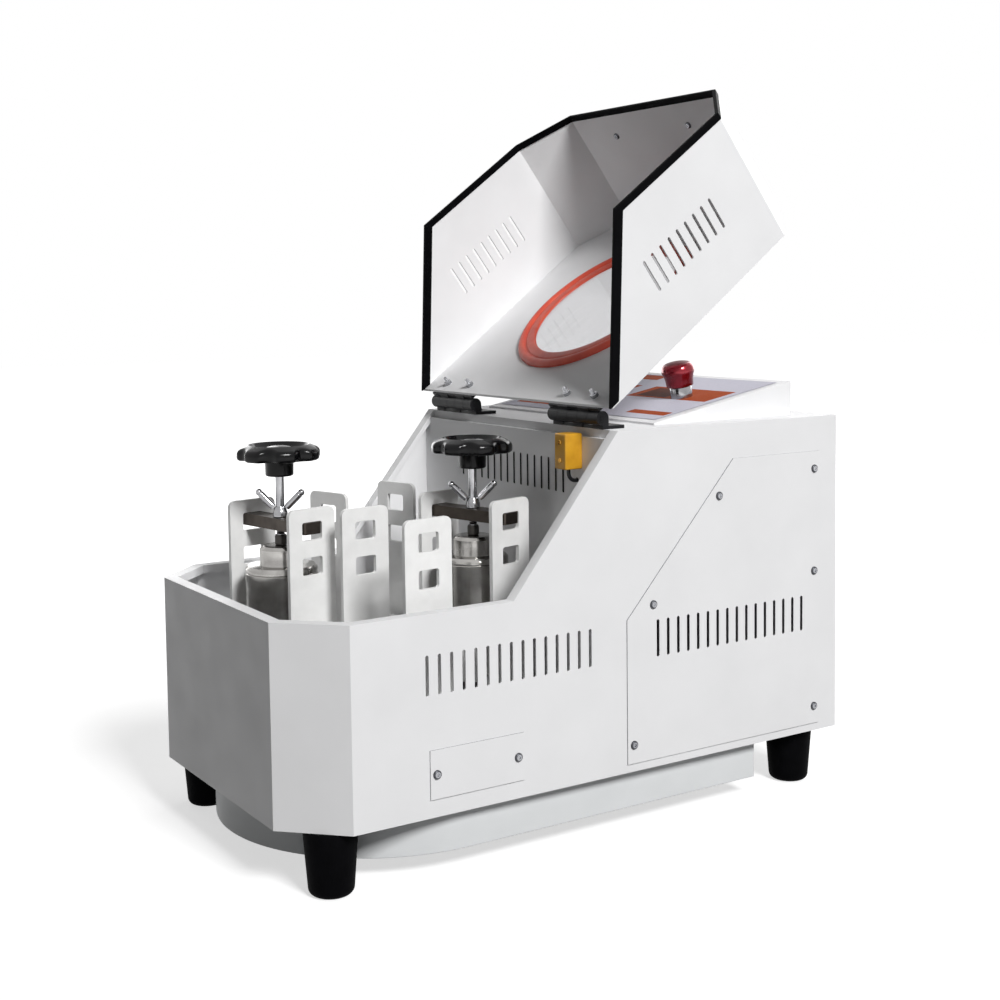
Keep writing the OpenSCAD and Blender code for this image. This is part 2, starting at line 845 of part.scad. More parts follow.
module stop_button() color("#a01018") {
    skirt = stop_h * stop_skirt_share;
    flat_r = stop_r - stop_edge_r;
    shoulder = skirt + stop_edge_r;
    on_slope(stop_x, stop_up) {
        translate([0, 0, collar_h + stop_travel]) rotate_extrude() polygon(concat(
            [[0, 0], [stop_r * stop_neck_share, 0]],
            [for (a = [0:15:90]) [flat_r + stop_edge_r * cos(a), skirt + stop_edge_r * sin(a)]],
            [for (k = [3:-1:0]) [flat_r * k / 4, shoulder + (stop_h - shoulder) * (1 - pow(k / 4, 2))]]));
        disc(stem_r, stop_travel - stem_in, collar_h + stop_travel);
    }
}

module safety_sensor() color("#d8a83a") {
    sensor_y = wall_y - sensor_l;
    difference() {
        block(sensor_x, sensor_x + sensor_w, sensor_y, wall_y, sensor_z, sensor_z + sensor_h);
        block(sensor_x + sensor_rim, sensor_x + sensor_w - sensor_rim, sensor_y - cut, sensor_y + sensor_dip,
              sensor_z + sensor_rim, sensor_z + sensor_h - sensor_rim);
    }
    for (share = [0.25, 0.75])
        translate([lead_x, sensor_y + sensor_dip, sensor_z + share * sensor_h]) rotate([90, 0, 0])
            cylinder(h = sensor_dip + sensor_lug_h, r = sensor_lug_r);
}

module sensor_lead() color("#1c1c1e") {
    bend_y = lead_y + lead_bend;
    translate([lead_x, lead_y, sensor_z - lead_drop]) cylinder(h = lead_drop, r = lead_r);
    translate([lead_x, bend_y, sensor_z - lead_drop]) rotate([-90, 0, 0]) rotate([0, 90, 0])
        rotate_extrude(angle = 90) translate([lead_bend, 0]) circle(lead_r);
    translate([lead_x, bend_y, lead_z]) rotate([-90, 0, 0]) cylinder(h = wall_y - bend_y + lead_in, r = lead_r);
}

// One side of a hinge: its leaf and every second knuckle, from the first one given
module hinge_leaf(side, first) {
    knuckle_l = hinge_l / knuckles;
    y0 = min(side * leaf_gap, side * leaf_reach);
    difference() {
        union() {
            block(hinge_x, hinge_x + hinge_l, hinge_y + y0, hinge_y + y0 + leaf_reach - leaf_gap, top_h, top_h + leaf_t);
            for (k = [first:2:knuckles - 1]) translate([hinge_x + k * knuckle_l + free / 2, hinge_y, 0]) {
                translate([0, 0, hinge_z]) rotate([0, 90, 0]) cylinder(h = knuckle_l - free, r = barrel_r);
                block(0, knuckle_l - free, min(0, side * barrel_r), max(0, side * barrel_r), top_h, hinge_z);
            }
        }
        translate([hinge_x - cut, hinge_y, hinge_z]) rotate([0, 90, 0])
            cylinder(h = hinge_l + 2 * cut, r = pin_r + fit_gap);
    }
}

module hinge_fixed_leaves() color("#232326") {
    both_sides() {
        difference() {
            hinge_leaf(1, 0);
            fixed_leaf_screw_places() disc(screw_hole_r, -cut, cut);
        }
        translate([hinge_x, hinge_y, hinge_z]) rotate([0, 90, 0]) cylinder(h = hinge_l, r = pin_r);
    }
}

// Turns what is drawn for the closed lid back to where the lid stands open
module lid_place() {
    translate([0, hinge_y, hinge_z]) rotate([-lid_open, 0, 0]) translate([0, -hinge_y, -hinge_z]) children();
}

module lid_bolt_places() {
    for (x = leaf_bolt_places) translate([x, hinge_y - leaf_bolt_in, top_h]) children();
}

module handle_screw_places() {
    for (x = [-handle_l / 2, handle_l / 2])
        translate([x, lid_front, handle_z]) rotate([-90, 0, 0]) children();
}

module lid_shell() color("white") {
    lid_place() difference() {
        intersection() {
            slab(lid_low, top_h) polygon(plan_outline(lid_front, front + slant_high));
            across(body_w) polygon(lid_outline(seam, seam));
        }
        slab(lid_low - cut, top_h - lid_t)
            polygon(inset(plan_outline(lid_front, front + slant_high + cut), lid_t));
        translate([0, sun_y, 0]) disc(ring_r - ring_w / 2, top_h - cut, top_h + cut);
        across(body_w + cut) slot_row(front + lid_slots_at, lid_slots, lid_slot_z, lid_slot_h);
        lid_bolt_places() disc(leaf_bolt_r + free, -cut, cut);
        handle_screw_places() disc(handle_screw_r + free, -cut, cut);
    }
}

// A strip of rubber along the metal edges, with a groove that takes the sheet
module lid_trim() color("#1c1c1e") {
    lid_place() difference() {
        intersection() {
            slab(rim_h, top_h - lid_t) difference() {
                polygon(inset(plan_outline(lid_front, front + slant_high), -trim_wall));
                polygon(inset(plan_outline(lid_front, front + slant_high + cut), lid_t + trim_wall));
            }
            across(body_w + cut) difference() {
                polygon(lid_outline(free, free));
                polygon(lid_outline(seam + trim_grip, seam + slant_grip));
            }
        }
        intersection() {
            slab(lid_low, top_h) difference() {
                polygon(plan_outline(lid_front, front + slant_high));
                polygon(inset(plan_outline(lid_front, front + slant_high + cut), lid_t));
            }
            across(body_w + cut) polygon(lid_outline(seam, seam));
        }
    }
}

module lid_window() color([0.8, 0.85, 0.9, 0.4]) {
    lid_place() translate([0, sun_y, 0]) disc(ring_r - ring_w / 2 - free, top_h - window_t, top_h);
}

// The ring clasps the window and lies under the lid's sheet
module window_ring() color("#c8503f") {
    seat_r = ring_r - ring_w / 2;
    lid_place() translate([0, sun_y, 0]) difference() {
        ring(ring_r, ring_r - ring_w, top_h - lid_t - ring_h, top_h - lid_t);
        disc(seat_r - free, top_h - window_t, top_h);
    }
}

module lid_handle() color("#232326") {
    bar_y = lid_front - handle_reach;
    bar_l = handle_l - 2 * handle_bend;
    lid_place() difference() {
        union() {
            both_sides() translate([handle_l / 2, lid_front, handle_z]) rotate([90, 0, 0]) {
                cylinder(h = handle_reach - handle_bend, r = handle_r);
                cylinder(h = handle_foot_t, r = handle_foot_r);
            }
            both_sides() translate([handle_l / 2 - handle_bend, bar_y + handle_bend, handle_z])
                rotate([0, 0, -90]) rotate_extrude(angle = 90) translate([handle_bend, 0]) circle(handle_r);
            translate([-bar_l / 2, bar_y, handle_z]) rotate([0, 90, 0]) cylinder(h = bar_l, r = handle_r);
        }
        handle_screw_places() disc(handle_screw_r, -handle_screw_in, cut);
    }
}

module hinge_moving_leaves() color("#232326") {
    lid_place() both_sides() difference() {
        hinge_leaf(-1, 1);
        lid_bolt_places() disc(leaf_bolt_r + free, -cut, leaf_t + cut);
    }
}

module lid_fasteners() color("silver") {
    lid_place() {
        lid_bolt_places() {
            translate([0, 0, leaf_t])
                domed_screw(leaf_bolt_head_r, leaf_bolt_head_h, leaf_bolt_r, leaf_t + lid_t + lid_nut_h + lid_stud_l);
            translate([0, 0, -lid_t - lid_nut_h]) cylinder(h = lid_nut_h, r = lid_nut_r, $fn = 6);
        }
        handle_screw_places() translate([0, 0, lid_t])
            domed_screw(leaf_bolt_head_r, leaf_bolt_head_h, handle_screw_r, lid_t + handle_screw_in);
    }
}

// Drive under and behind the well
module bearing_housing() color("slategray") {
    translate([0, sun_y, 0]) difference() {
        union() {
            disc(housing_flange_r, floor_top, floor_top + housing_flange_t);
            disc(housing_r, floor_top, housing_top);
        }
        disc(bearing_r, floor_top - cut, housing_top + cut);
    }
}

module main_bearings() color("silver") {
    translate([0, sun_y, 0]) for (z = [floor_top, housing_top - bearing_h])
        ring(bearing_r - fit_gap, shaft_r + run_gap, z, z + bearing_h);
}

module motor() color("dimgray") {
    body_z = floor_top + motor_flange_t;
    translate([0, motor_y, 0]) difference() {
        union() {
            disc(motor_r + motor_flange_rise, floor_top, body_z);
            disc(motor_r, body_z, body_z + motor_h);
            disc(motor_r * motor_cap_share, body_z + motor_h, body_z + motor_h + motor_cap_h);
            block(0, motor_r + motor_box[1], -motor_box[0] / 2, motor_box[0] / 2,
                  body_z + motor_h - motor_box[2], body_z + motor_h);
        }
        disc(motor_shaft_r + run_gap, floor_top - cut, body_z + motor_shaft_in);
    }
}

// A pulley whose belt runs at radius r between two cheeks
module pulley(r) {
    disc(r, pulley_z, pulley_z + pulley_h);
    disc(r + cheek_rise, pulley_z, belt_z);
    disc(r + cheek_rise, belt_z + belt_h, pulley_z + pulley_h);
}

module motor_pulley() color("silver") {
    translate([0, motor_y, 0]) {
        pulley(small_pulley_r);
        disc(motor_shaft_r, pulley_z, floor_top + motor_flange_t + motor_shaft_in - free);
    }
}

module driven_pulley() color("silver") {
    translate([0, sun_y, 0]) difference() {
        pulley(big_pulley_r);
        disc(shaft_r + fit_gap, pulley_z - cut, pulley_z + pulley_h + cut);
    }
}

// Outline of a loop round both pulleys, d outside the radius at which the belt runs.
// Its straight runs lie belt_ease inside the tangents, so that they cross the arcs cleanly.
module belt_outline(d) {
    lean = asin((big_pulley_r - small_pulley_r) / drive_l);
    big = (big_pulley_r + d - belt_ease) * [cos(lean), sin(lean)];
    small = (small_pulley_r + d - belt_ease) * [cos(lean), sin(lean)] + [0, drive_l];
    translate([0, sun_y]) {
        circle(big_pulley_r + d);
        translate([0, drive_l]) circle(small_pulley_r + d);
        polygon([big, small, [-small[0], small[1]], [-big[0], big[1]]]);
    }
}

module drive_belt() color("#1c1c1e") {
    slab(belt_z + free, belt_z + belt_h - free) difference() {
        belt_outline(belt_t);
        belt_outline(free);
    }
}

module inverter() color("#46494d") {
    x0 = sheet + inverter_gap - body_w / 2;
    y0 = motor_y - inverter_w / 2;
    step = (inverter_w - inverter_fin_t) / (inverter_fins - 1);
    block(x0 + inverter_fin_l, x0 + inverter_l, y0, y0 + inverter_w, floor_top, floor_top + inverter_h);
    for (i = [0:inverter_fins - 1])
        block(x0, x0 + inverter_fin_l + free, y0 + i * step, y0 + i * step + inverter_fin_t,
              floor_top, floor_top + inverter_h);
}

module power_inlet() color("#1c1c1e") {
    body_w0 = inlet_w - 2 * inlet_lip;
    body_h0 = inlet_h - 2 * inlet_lip;
    socket_z = inlet_z - socket_drop;
    switch_z = inlet_z + switch_rise;
    difference() {
        union() {
            block(inlet_x - inlet_w / 2, inlet_x + inlet_w / 2, rear_y, rear_y + inlet_lip_t,
                  inlet_z - inlet_h / 2, inlet_z + inlet_h / 2);
            block(inlet_x - body_w0 / 2, inlet_x + body_w0 / 2, rear_y - inlet_l, rear_y + inlet_lip_t / 2,
                  inlet_z - body_h0 / 2, inlet_z + body_h0 / 2);
        }
        block(inlet_x - socket_w / 2, inlet_x + socket_w / 2, rear_y - socket_l, rear_y + cut,
              socket_z - socket_h / 2, socket_z + socket_h / 2);
        block(inlet_x - switch_w / 2 - free, inlet_x + switch_w / 2 + free, rear_y - socket_l, rear_y + cut,
              switch_z - switch_h / 2 - free, switch_z + switch_h / 2 + free);
        translate([inlet_x, rear_y - switch_pivot_in, switch_z])
            across(switch_w + 2 * (switch_pin_l + free)) circle(switch_pin_r + run_gap);
    }
    for (x = [-1, 0, 1]) let (z = socket_z + (1 - abs(x)) * blade_h / 2)
        translate([inlet_x + x * blade_gap, rear_y - socket_l, z - blade_h / 2])
            translate([-blade_w / 2, -cut / 2, 0]) cube([blade_w, blade_l + cut / 2, blade_h]);
}

// The rocker's face is two planes that meet over its pivot
module power_switch() color("#b01c1c") {
    half = switch_h / 2 - 2 * free;
    ridge = switch_pivot_in + switch_face_out;
    wing = ridge + half * sin(switch_turn) / 2;
    edge = half * switch_edge_share;
    translate([inlet_x, rear_y - switch_pivot_in, inlet_z + switch_rise]) rotate([switch_turn, 0, 0]) {
        across(switch_w)
            polygon([[-switch_pivot_in, -half / 2], [ridge / 2, -edge], [wing, -edge], [ridge, 0],
                     [wing, edge], [ridge / 2, edge], [-switch_pivot_in, half / 2]]);
        across(switch_w + 2 * switch_pin_l) circle(switch_pin_r);
    }
}

// Gear train. A tooth is centred on the direction turn.
function involute(a) = tan(a) * 180 / PI - a;
function flank_angle(n, r) =
    let (pitch_r = gear_m * n / 2,
         base_r = pitch_r * cos(pressure_angle),
         a = acos(base_r / max(r, base_r)))
    90 / n - backlash / pitch_r * 180 / PI + involute(pressure_angle) - involute(a);
function gear_outline(n, turn) =
    let (pitch_r = gear_m * n / 2,
         radii = [pitch_r - dedendum_share * gear_m, pitch_r * cos(pressure_angle), pitch_r,
                  pitch_r + addendum_share * gear_m],
         flank = [for (r = radii) [r, flank_angle(n, r)]])
    [for (i = [0:n - 1], e = [-1, 1], j = [0:len(flank) - 1])
        let (p = e < 0 ? flank[j] : flank[len(flank) - 1 - j],
             a = turn + i * 360 / n + e * p[1])
        p[0] * [cos(a), sin(a)]];

// Directions of a station's idler and planet teeth, in mesh with a sun tooth on +X
function station_angle(i) = station_turn + 90 * (i - 1);
function idler_turn(i) =
    let (place = station_angle(i) / (360 / sun_n))
    station_angle(i) + 180 - 360 / idler_n * (0.5 - place);
function planet_turn(i) =
    let (place = (station_angle(i) - idler_turn(i)) / (360 / idler_n))
    station_angle(i) + 180 - 360 / planet_n * (0.5 - place);

module gear(n, turn, z0, z1) {
    slab(z0, z1) polygon(gear_outline(n, turn));
}

// Moves to a place on a circle about the sun axis, without turning
module at_station(i, r) {
    translate([r * cos(station_angle(i)), sun_y + r * sin(station_angle(i)), 0]) children();
}

module sun_gear() color("darkgray") {
    translate([0, sun_y, 0]) difference() {
        union() {
            gear(sun_n, 0, gear_z, gear_top);
            disc(sun_hub_r, housing_top, gear_z);
        }
        disc(shaft_r + gear_lift, housing_top - cut, gear_top + cut);
    }
}

module sun_disc() color("silver") {
    difference() {
        translate([0, sun_y, 0]) ring(disc_r, shaft_r + fit_gap, disc_z, disc_top);
        for (i = [1:4]) at_station(i, planet_at_r) disc(planet_bearing_r + fit_gap, disc_z - cut, disc_top + cut);
    }
}

module main_shaft() color("silver") {
    translate([0, sun_y, 0]) {
        disc(shaft_r, pulley_z, disc_top);
        disc(hub_r, gear_top + hub_gap, disc_z);
        disc(shaft_nut_r, disc_top, disc_top + shaft_nut_h);
    }
}

module carrier() color("slategray") {
    difference() {
        translate([0, sun_y, 0]) ring(carrier_r, carrier_hole_r, carrier_z, carrier_top);
        for (i = [1:4]) at_station(i, planet_at_r)
            disc(planet_bearing_r + fit_gap, carrier_z - cut, carrier_top + cut);
    }
    for (i = [1:4]) {
        at_station(i, idler_at_r) disc(idler_pin_r, carrier_top - disc_t / 2, disc_z);
        at_station(i + 0.5, pillar_at_r) disc(pillar_r, carrier_top - disc_t / 2, disc_z);
    }
}

module planet_bearings() color("silver") {
    for (i = [1:4], z = [carrier_z, disc_z]) at_station(i, planet_at_r)
        ring(planet_bearing_r, spindle_r + run_gap, z, z + disc_t);
}

module idler_gear(i) color("darkgray") {
    at_station(i, idler_at_r) difference() {
        union() {
            gear(idler_n, idler_turn(i), gear_z, gear_top);
            disc(idler_boss_r, carrier_top + free, disc_z - free);
        }
        disc(idler_pin_r + run_gap, carrier_top - cut, disc_z + cut);
    }
}

module planet_spindle(i) color("silver") {
    at_station(i, planet_at_r) {
        disc(spindle_r, carrier_z - spindle_tail, base_z + base_t / 2);
        disc(spindle_boss_r, carrier_top + free, disc_z - free);
        gear(planet_n, planet_turn(i), gear_z, gear_top);
    }
}

// Turns to a holder's own axes: +X from ear to ear
module at_holder(i) {
    at_station(i, planet_at_r) rotate([0, 0, holder_turns[i - 1]]) children();
}

// Outline of an ear, as points [y, z]
module ear_outline() {
    shoulder = ear_top - ear_corner_r;
    difference() {
        union() {
            translate([-ear_w / 2, base_z]) square([ear_w, shoulder - base_z]);
            translate([ear_corner_r - ear_w / 2, shoulder]) square([ear_w - 2 * ear_corner_r, ear_corner_r]);
            for (y = [ear_corner_r - ear_w / 2, ear_w / 2 - ear_corner_r]) translate([y, shoulder])
                circle(ear_corner_r);
        }
        for (k = [1, 2])
            translate([0, ear_top - ear_window_top - k * ear_window_h - (k - 1) * ear_window_gap])
                rounded_window(ear_window_w, ear_window_h, window_edge_r);
    }
}

module jar_holder(i) color("gainsboro") {
    at_holder(i) {
        difference() {
            union() {
                block(-base_l / 2, base_l / 2, -ear_w / 2, ear_w / 2, base_z, seat_z);
                disc(cup_r, base_z, seat_z + seat_h);
                disc(base_hub_r, disc_top + free, base_z);
            }
            disc(seat_r, seat_z, seat_z + seat_h + cut);
            disc(spindle_r + fit_gap, disc_top - cut, base_z + base_t / 2 + fit_gap);
        }
        both_sides() {
            translate([ear_gap / 2, 0, 0]) across(ear_t) ear_outline();
            for (y = [-ear_w / 4, ear_w / 4]) translate([(ear_gap + ear_t) / 2, y, base_z + base_t / 2])
                rotate([0, 90, 0]) cylinder(h = ear_screw_h, r = ear_screw_r);
        }
    }
}

module jar(i) color("silver") {
    lid_z = boss_z - jar_lid_t;
    at_holder(i) {
        difference() {
            disc(jar_r, seat_z, lid_z - fit_gap);
            disc(jar_r - jar_wall, seat_z + jar_wall, lid_z + cut);
        }
        rotate_extrude() polygon([
            [0, lid_z - jar_plug_h], [jar_r - jar_wall - free, lid_z - jar_plug_h],
            [jar_r - jar_wall - free, lid_z], [jar_r, lid_z], [jar_r, boss_z - shoulder_bevel],
            [jar_r - shoulder_bevel, boss_z], [boss_r, boss_z], [boss_r, jar_top - boss_bevel],
            [boss_r - boss_bevel, jar_top], [0, jar_top]]);
    }
}

module clamp_bar(i) color("#3a3c40") {
    half = bar_l / 2;
    at_holder(i) difference() {
        slab(bar_z, bar_top) polygon([
            [bar_bevel - half, -bar_w / 2], [half - bar_bevel, -bar_w / 2], [half, bar_bevel - bar_w / 2],
            [half, bar_w / 2 - bar_bevel], [half - bar_bevel, bar_w / 2], [bar_bevel - half, bar_w / 2],
            [-half, bar_w / 2 - bar_bevel], [-half, bar_bevel - bar_w / 2]]);
        disc(clamp_r + run_gap, bar_z - cut, bar_top + cut);
    }
}

module pressure_pad(i) color("#3a3c40") {
    at_holder(i) difference() {
        disc(pad_r, pad_z, pad_z + pad_h);
        disc(clamp_r + run_gap, pad_z + pad_h - pad_bore_h, pad_z + pad_h + cut);
    }
}

module clamp_screw(i) color("silver") {
    at_holder(i) disc(clamp_r, pad_z + pad_h - pad_bore_h + fit_gap, wheel_top - wheel_dish_h - wheel_dome_h);
}

module handwheel(i) color("#141416") {
    at_holder(i) difference() {
        union() {
            slab(wheel_z, wheel_top) difference() {
                circle(wheel_r);
                for (k = [0:lobes - 1]) rotate(k * 360 / lobes) translate([wheel_r + lobe_cut_r - lobe_dip, 0])
                    circle(lobe_cut_r);
            }
            disc(wheel_hub_r, wheel_z - wheel_hub_h, wheel_z);
        }
        difference() {
            disc(wheel_dish_r, wheel_top - wheel_dish_h, wheel_top + cut);
            disc(wheel_dome_r, wheel_top - wheel_dish_h - cut, wheel_top - wheel_dish_h + wheel_dome_h);
        }
        disc(clamp_r + fit_gap, wheel_z - wheel_hub_h - cut, wheel_top - wheel_dish_h - wheel_dome_h + fit_gap);
    }
}

module lock_nut(i) color("silver") {
    nut_z = bar_top + free;
    at_station(i, planet_at_r) rotate([0, 0, lever_turns[i - 1]]) difference() {
        union() {
            disc(nut_r, nut_z, nut_z + nut_h);
            both_sides() translate([nut_r * lever_root_share, 0, nut_z + nut_h / 2]) rotate([0, 45, 0]) {
                cylinder(h = lever_l, r = lever_r);
                translate([0, 0, lever_l]) sphere(lever_r);
            }
        }
        disc(clamp_r + run_gap, nut_z - cut, nut_z + nut_h + lever_l);
        disc(nut_r + cut, nut_z - cut, nut_z);
    }
}

casing();
floor_plate();
belly_pan();
well_back_wall();
rear_panel();
side_covers();
cover_screws();
feet();
console_housing();
console_film();
stop_collar();
safety_sensor();
sensor_lead();
hinge_fixed_leaves();
bearing_housing();
main_bearings();
sun_gear();
motor();
drive_belt();
inverter();
power_inlet();
power_switch();
stop_button();
motor_pulley();
lid_shell();
lid_trim();
lid_window();
window_ring();
lid_handle();
hinge_moving_leaves();
lid_fasteners();
sun_disc();
main_shaft();
carrier();
planet_bearings();
driven_pulley();
for (i = [1:4]) {
    idler_gear(i);
    planet_spindle(i);
    jar_holder(i);
}
for (i = [1, 3]) {
    jar(i);
    clamp_bar(i);
    clamp_screw(i);
    handwheel(i);
    pressure_pad(i);
    lock_nut(i);
}
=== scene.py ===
import bmesh
import bpy
import math
from mathutils import Matrix, Vector


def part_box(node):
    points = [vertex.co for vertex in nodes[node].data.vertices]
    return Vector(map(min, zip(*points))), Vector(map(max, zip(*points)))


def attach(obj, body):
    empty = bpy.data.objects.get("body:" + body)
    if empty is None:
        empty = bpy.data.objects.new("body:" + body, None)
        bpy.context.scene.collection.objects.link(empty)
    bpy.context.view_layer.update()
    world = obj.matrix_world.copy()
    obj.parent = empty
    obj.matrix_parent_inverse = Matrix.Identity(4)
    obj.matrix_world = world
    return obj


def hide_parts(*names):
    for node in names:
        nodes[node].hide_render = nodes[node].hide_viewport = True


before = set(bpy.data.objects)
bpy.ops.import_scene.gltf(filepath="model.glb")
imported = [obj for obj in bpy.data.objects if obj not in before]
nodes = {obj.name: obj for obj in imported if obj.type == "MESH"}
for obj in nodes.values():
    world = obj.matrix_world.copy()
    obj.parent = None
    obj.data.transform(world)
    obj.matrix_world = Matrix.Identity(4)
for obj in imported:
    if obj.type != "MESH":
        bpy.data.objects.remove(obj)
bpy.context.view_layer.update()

mm = 0.001
touching = 1e-6  # metres within which two points are one
print("stage: frame loaded,", len(nodes), "nodes")


# Camera, fitted to the casing's corners in the photograph
cameraView = {
    "place": (1.5599, -0.9929, 0.6288),  # metres
    "yaw": 57.259,    # degrees that the gaze is turned from +Y towards -X
    "pitch": 4.127,   # degrees below the horizon
    "roll": -0.704,
    "lens": 53.73,    # millimetres, on a sensor as wide as the next value
    "sensor": 36,
    "shiftY": -0.1,
}


def makeCamera(s):
    yaw, pitch, roll = (math.radians(s[k]) for k in ("yaw", "pitch", "roll"))
    ahead = Vector((-math.sin(yaw) * math.cos(pitch), math.cos(yaw) * math.cos(pitch), -math.sin(pitch)))
    right = Vector((math.cos(yaw), math.sin(yaw), 0))
    up = right.cross(ahead)
    right, up = (math.cos(roll) * right + math.sin(roll) * up,
                 math.cos(roll) * up - math.sin(roll) * right)
    data = bpy.data.cameras.new("photoCamera")
    data.lens, data.sensor_width, data.shift_y = s["lens"], s["sensor"], s["shiftY"]
    camera = bpy.data.objects.new("photoCamera", data)
    camera.matrix_world = Matrix.Translation(s["place"]) @ Matrix(
        (right, up, -ahead)).transposed().to_4x4()
    bpy.context.scene.collection.objects.link(camera)
    bpy.context.scene.camera = camera


makeCamera(cameraView)
bpy.context.scene.view_settings.view_transform = "Standard"
print("stage: camera")


# Colour and node helpers
def fromHex(code):
    parts = [int(code[i:i + 2], 16) / 255 for i in (1, 3, 5)]
    return tuple(c / 12.92 if c <= 0.04045 else ((c + 0.055) / 1.055) ** 2.4 for c in parts) + (1.0,)


def addNode(tree, kind, inputs=None, **settings):
    node = tree.nodes.new(kind)
    for key, value in settings.items():
        setattr(node, key, value)
    for key, value in (inputs or {}).items():
        if isinstance(value, bpy.types.NodeSocket):
            tree.links.new(value, node.inputs[key])
        else:
            node.inputs[key].default_value = value
    return node


def startFinish(name, **fixed):
    # fixed holds what is the same all over the surface, set on the shader itself
    material = bpy.data.materials.new(name)
    material.use_nodes = True
    tree = material.node_tree
    shader = tree.nodes["Principled BSDF"]
    for key, value in fixed.items():
        shader.inputs[key.replace("_", " ").title().replace("Ior", "IOR")].default_value = value
    return material, tree, shader, addNode(tree, "ShaderNodeTexCoord").outputs["Object"]


def patches(tree, place, grain, low=0, high=1, detail=3.0):
    # a soft mottling from low to high, its patches grain millimetres wide
    cloud = addNode(tree, "ShaderNodeTexNoise", {"Vector": place, "Scale": 1000 / grain, "Detail": detail})
    spread = {"Value": cloud.outputs["Fac"], "From Min": 0.3, "From Max": 0.7, "To Min": low, "To Max": high}
    return addNode(tree, "ShaderNodeMapRange", spread).outputs["Result"]


def dress(tree, shader, tones, share, gloss, relief, depth):
    # two tones mixed by share, a roughness that varies, and a relief of depth millimetres
    tone = addNode(tree, "ShaderNodeMix", {0: share, 6: fromHex(tones[0]), 7: fromHex(tones[1])},
                   data_type="RGBA")
    bump = addNode(tree, "ShaderNodeBump", {"Height": relief, "Distance": depth * mm})
    tree.links.new(tone.outputs[2], shader.inputs["Base Color"])
    tree.links.new(gloss, shader.inputs["Roughness"])
    tree.links.new(bump.outputs["Normal"], shader.inputs["Normal"])


# Powder coat: baked polyester powder on sheet steel. Its orange peel breaks up the sheen and
# the ground wanders by a hair in tone, so a big panel never looks dead flat.
def powderCoat(name, colour, second, rough=0.45, peel=1.4, level=0.25):
    material, tree, shader, place = startFinish(name, specular_ior_level=level)
    # the real peel is about 0.4 mm wide; drawn at 1.4 mm or more so that it shows
    dress(tree, shader, (colour, second), share=patches(tree, place, 90),
          gloss=patches(tree, place, 35, rough - 0.05, rough + 0.05, detail=4),
          relief=patches(tree, place, peel, detail=2), depth=0.010)
    return material


# Moulded rubber: carbon-black rubber from a blasted mould, matt, with a dusty bloom in patches
def mouldedRubber(name, colour, bloom, rough=0.62):
    material, tree, shader, place = startFinish(name, specular_ior_level=0.02)
    # the mould's real grain is about 0.2 mm wide; drawn at 0.9 mm so that it shows
    dress(tree, shader, (colour, bloom), share=patches(tree, place, 16, detail=5),
          gloss=patches(tree, place, 4, rough - 0.08, rough + 0.08),
          relief=patches(tree, place, 0.9), depth=0.04)
    return material


# Silicone: moulded red gasket, satin, with light bleeding a little way through it
def mouldedSilicone(name, colour, deep):
    material, tree, shader, place = startFinish(name, subsurface_weight=0.12, subsurface_scale=0.003,
                                                specular_ior_level=0.4)
    dress(tree, shader, (colour, deep), share=patches(tree, place, 34, detail=4),
          gloss=patches(tree, place, 6, 0.34, 0.48),
          relief=patches(tree, place, 2.2, detail=2), depth=0.02)
    return material


# Turned steel: the lathe tool leaves rings round the axis, which drag the highlights out across them
def turnedSteel(name, colour, dark, centre, rough, ring=0.9, depth=0.006):
    material, tree, shader, place = startFinish(name, metallic=1.0, anisotropic=0.5)
    axis = addNode(tree, "ShaderNodeVectorMath", {0: place, 1: (*centre, 0)}, operation="SUBTRACT")
    parts = addNode(tree, "ShaderNodeSeparateXYZ", {0: axis.outputs[0]}).outputs
    flat = addNode(tree, "ShaderNodeCombineXYZ", {"X": parts["X"], "Y": parts["Y"]}).outputs[0]
    out = addNode(tree, "ShaderNodeVectorMath", {0: flat}, operation="LENGTH").outputs["Value"]
    rings = addNode(tree, "ShaderNodeCombineXYZ", {"X": out, "Z": parts["Z"]}).outputs[0]
    # the real feed marks are about 0.1 mm apart; drawn at ring so that they show
    lines = patches(tree, rings, ring)
    gloss = addNode(tree, "ShaderNodeMapRange", {"Value": lines, "To Min": rough - 0.05,
                                                 "To Max": rough + 0.09}).outputs["Result"]
    dress(tree, shader, (colour, dark), share=patches(tree, place, 26, detail=5), gloss=gloss,
          relief=lines, depth=depth)
    return material


# Satin metal: blasted, blackened or plated stock, with an even fine grain and handling marks in its gloss
def satinMetal(name, colour, dark, rough, metallic=1.0, grain=0.8, depth=0.012, level=0.5):
    material, tree, shader, place = startFinish(name, metallic=metallic, specular_ior_level=level)
    # the real pits are about 0.1 mm wide; drawn at grain so that they show
    dress(tree, shader, (colour, dark), share=patches(tree, place, 20, detail=6),
          gloss=patches(tree, place, 14, rough - 0.06, rough + 0.08, detail=6),
          relief=patches(tree, place, grain, detail=2), depth=depth)
    return material


# Moulded plastic: an even colour under a thin skin of gloss, with slight flow marks
def mouldedPlastic(name, colour, dark, rough, coat=0.0, metallic=0.0, level=0.4):
    material, tree, shader, place = startFinish(name, metallic=metallic, coat_weight=coat,
                                                coat_roughness=0.08, specular_ior_level=level)
    dress(tree, shader, (colour, dark), share=patches(tree, place, 18, detail=4),
          gloss=patches(tree, place, 7, rough - 0.04, rough + 0.07, detail=5),
          relief=patches(tree, place, 4, detail=2), depth=0.010)
    return material


# Acrylic: cast clear sheet with a haze of wiping marks, six times as long as they are wide
def castAcrylic(name, tint):
    material, tree, shader, place = startFinish(name, base_color=fromHex(tint), transmission_weight=1.0,
                                                ior=1.49)
    wiped = addNode(tree, "ShaderNodeMapping", {"Vector": place, "Scale": (6, 1, 1)}).outputs["Vector"]
    tree.links.new(patches(tree, wiped, 120, 0.02, 0.09, detail=5), shader.inputs["Roughness"])
    return material


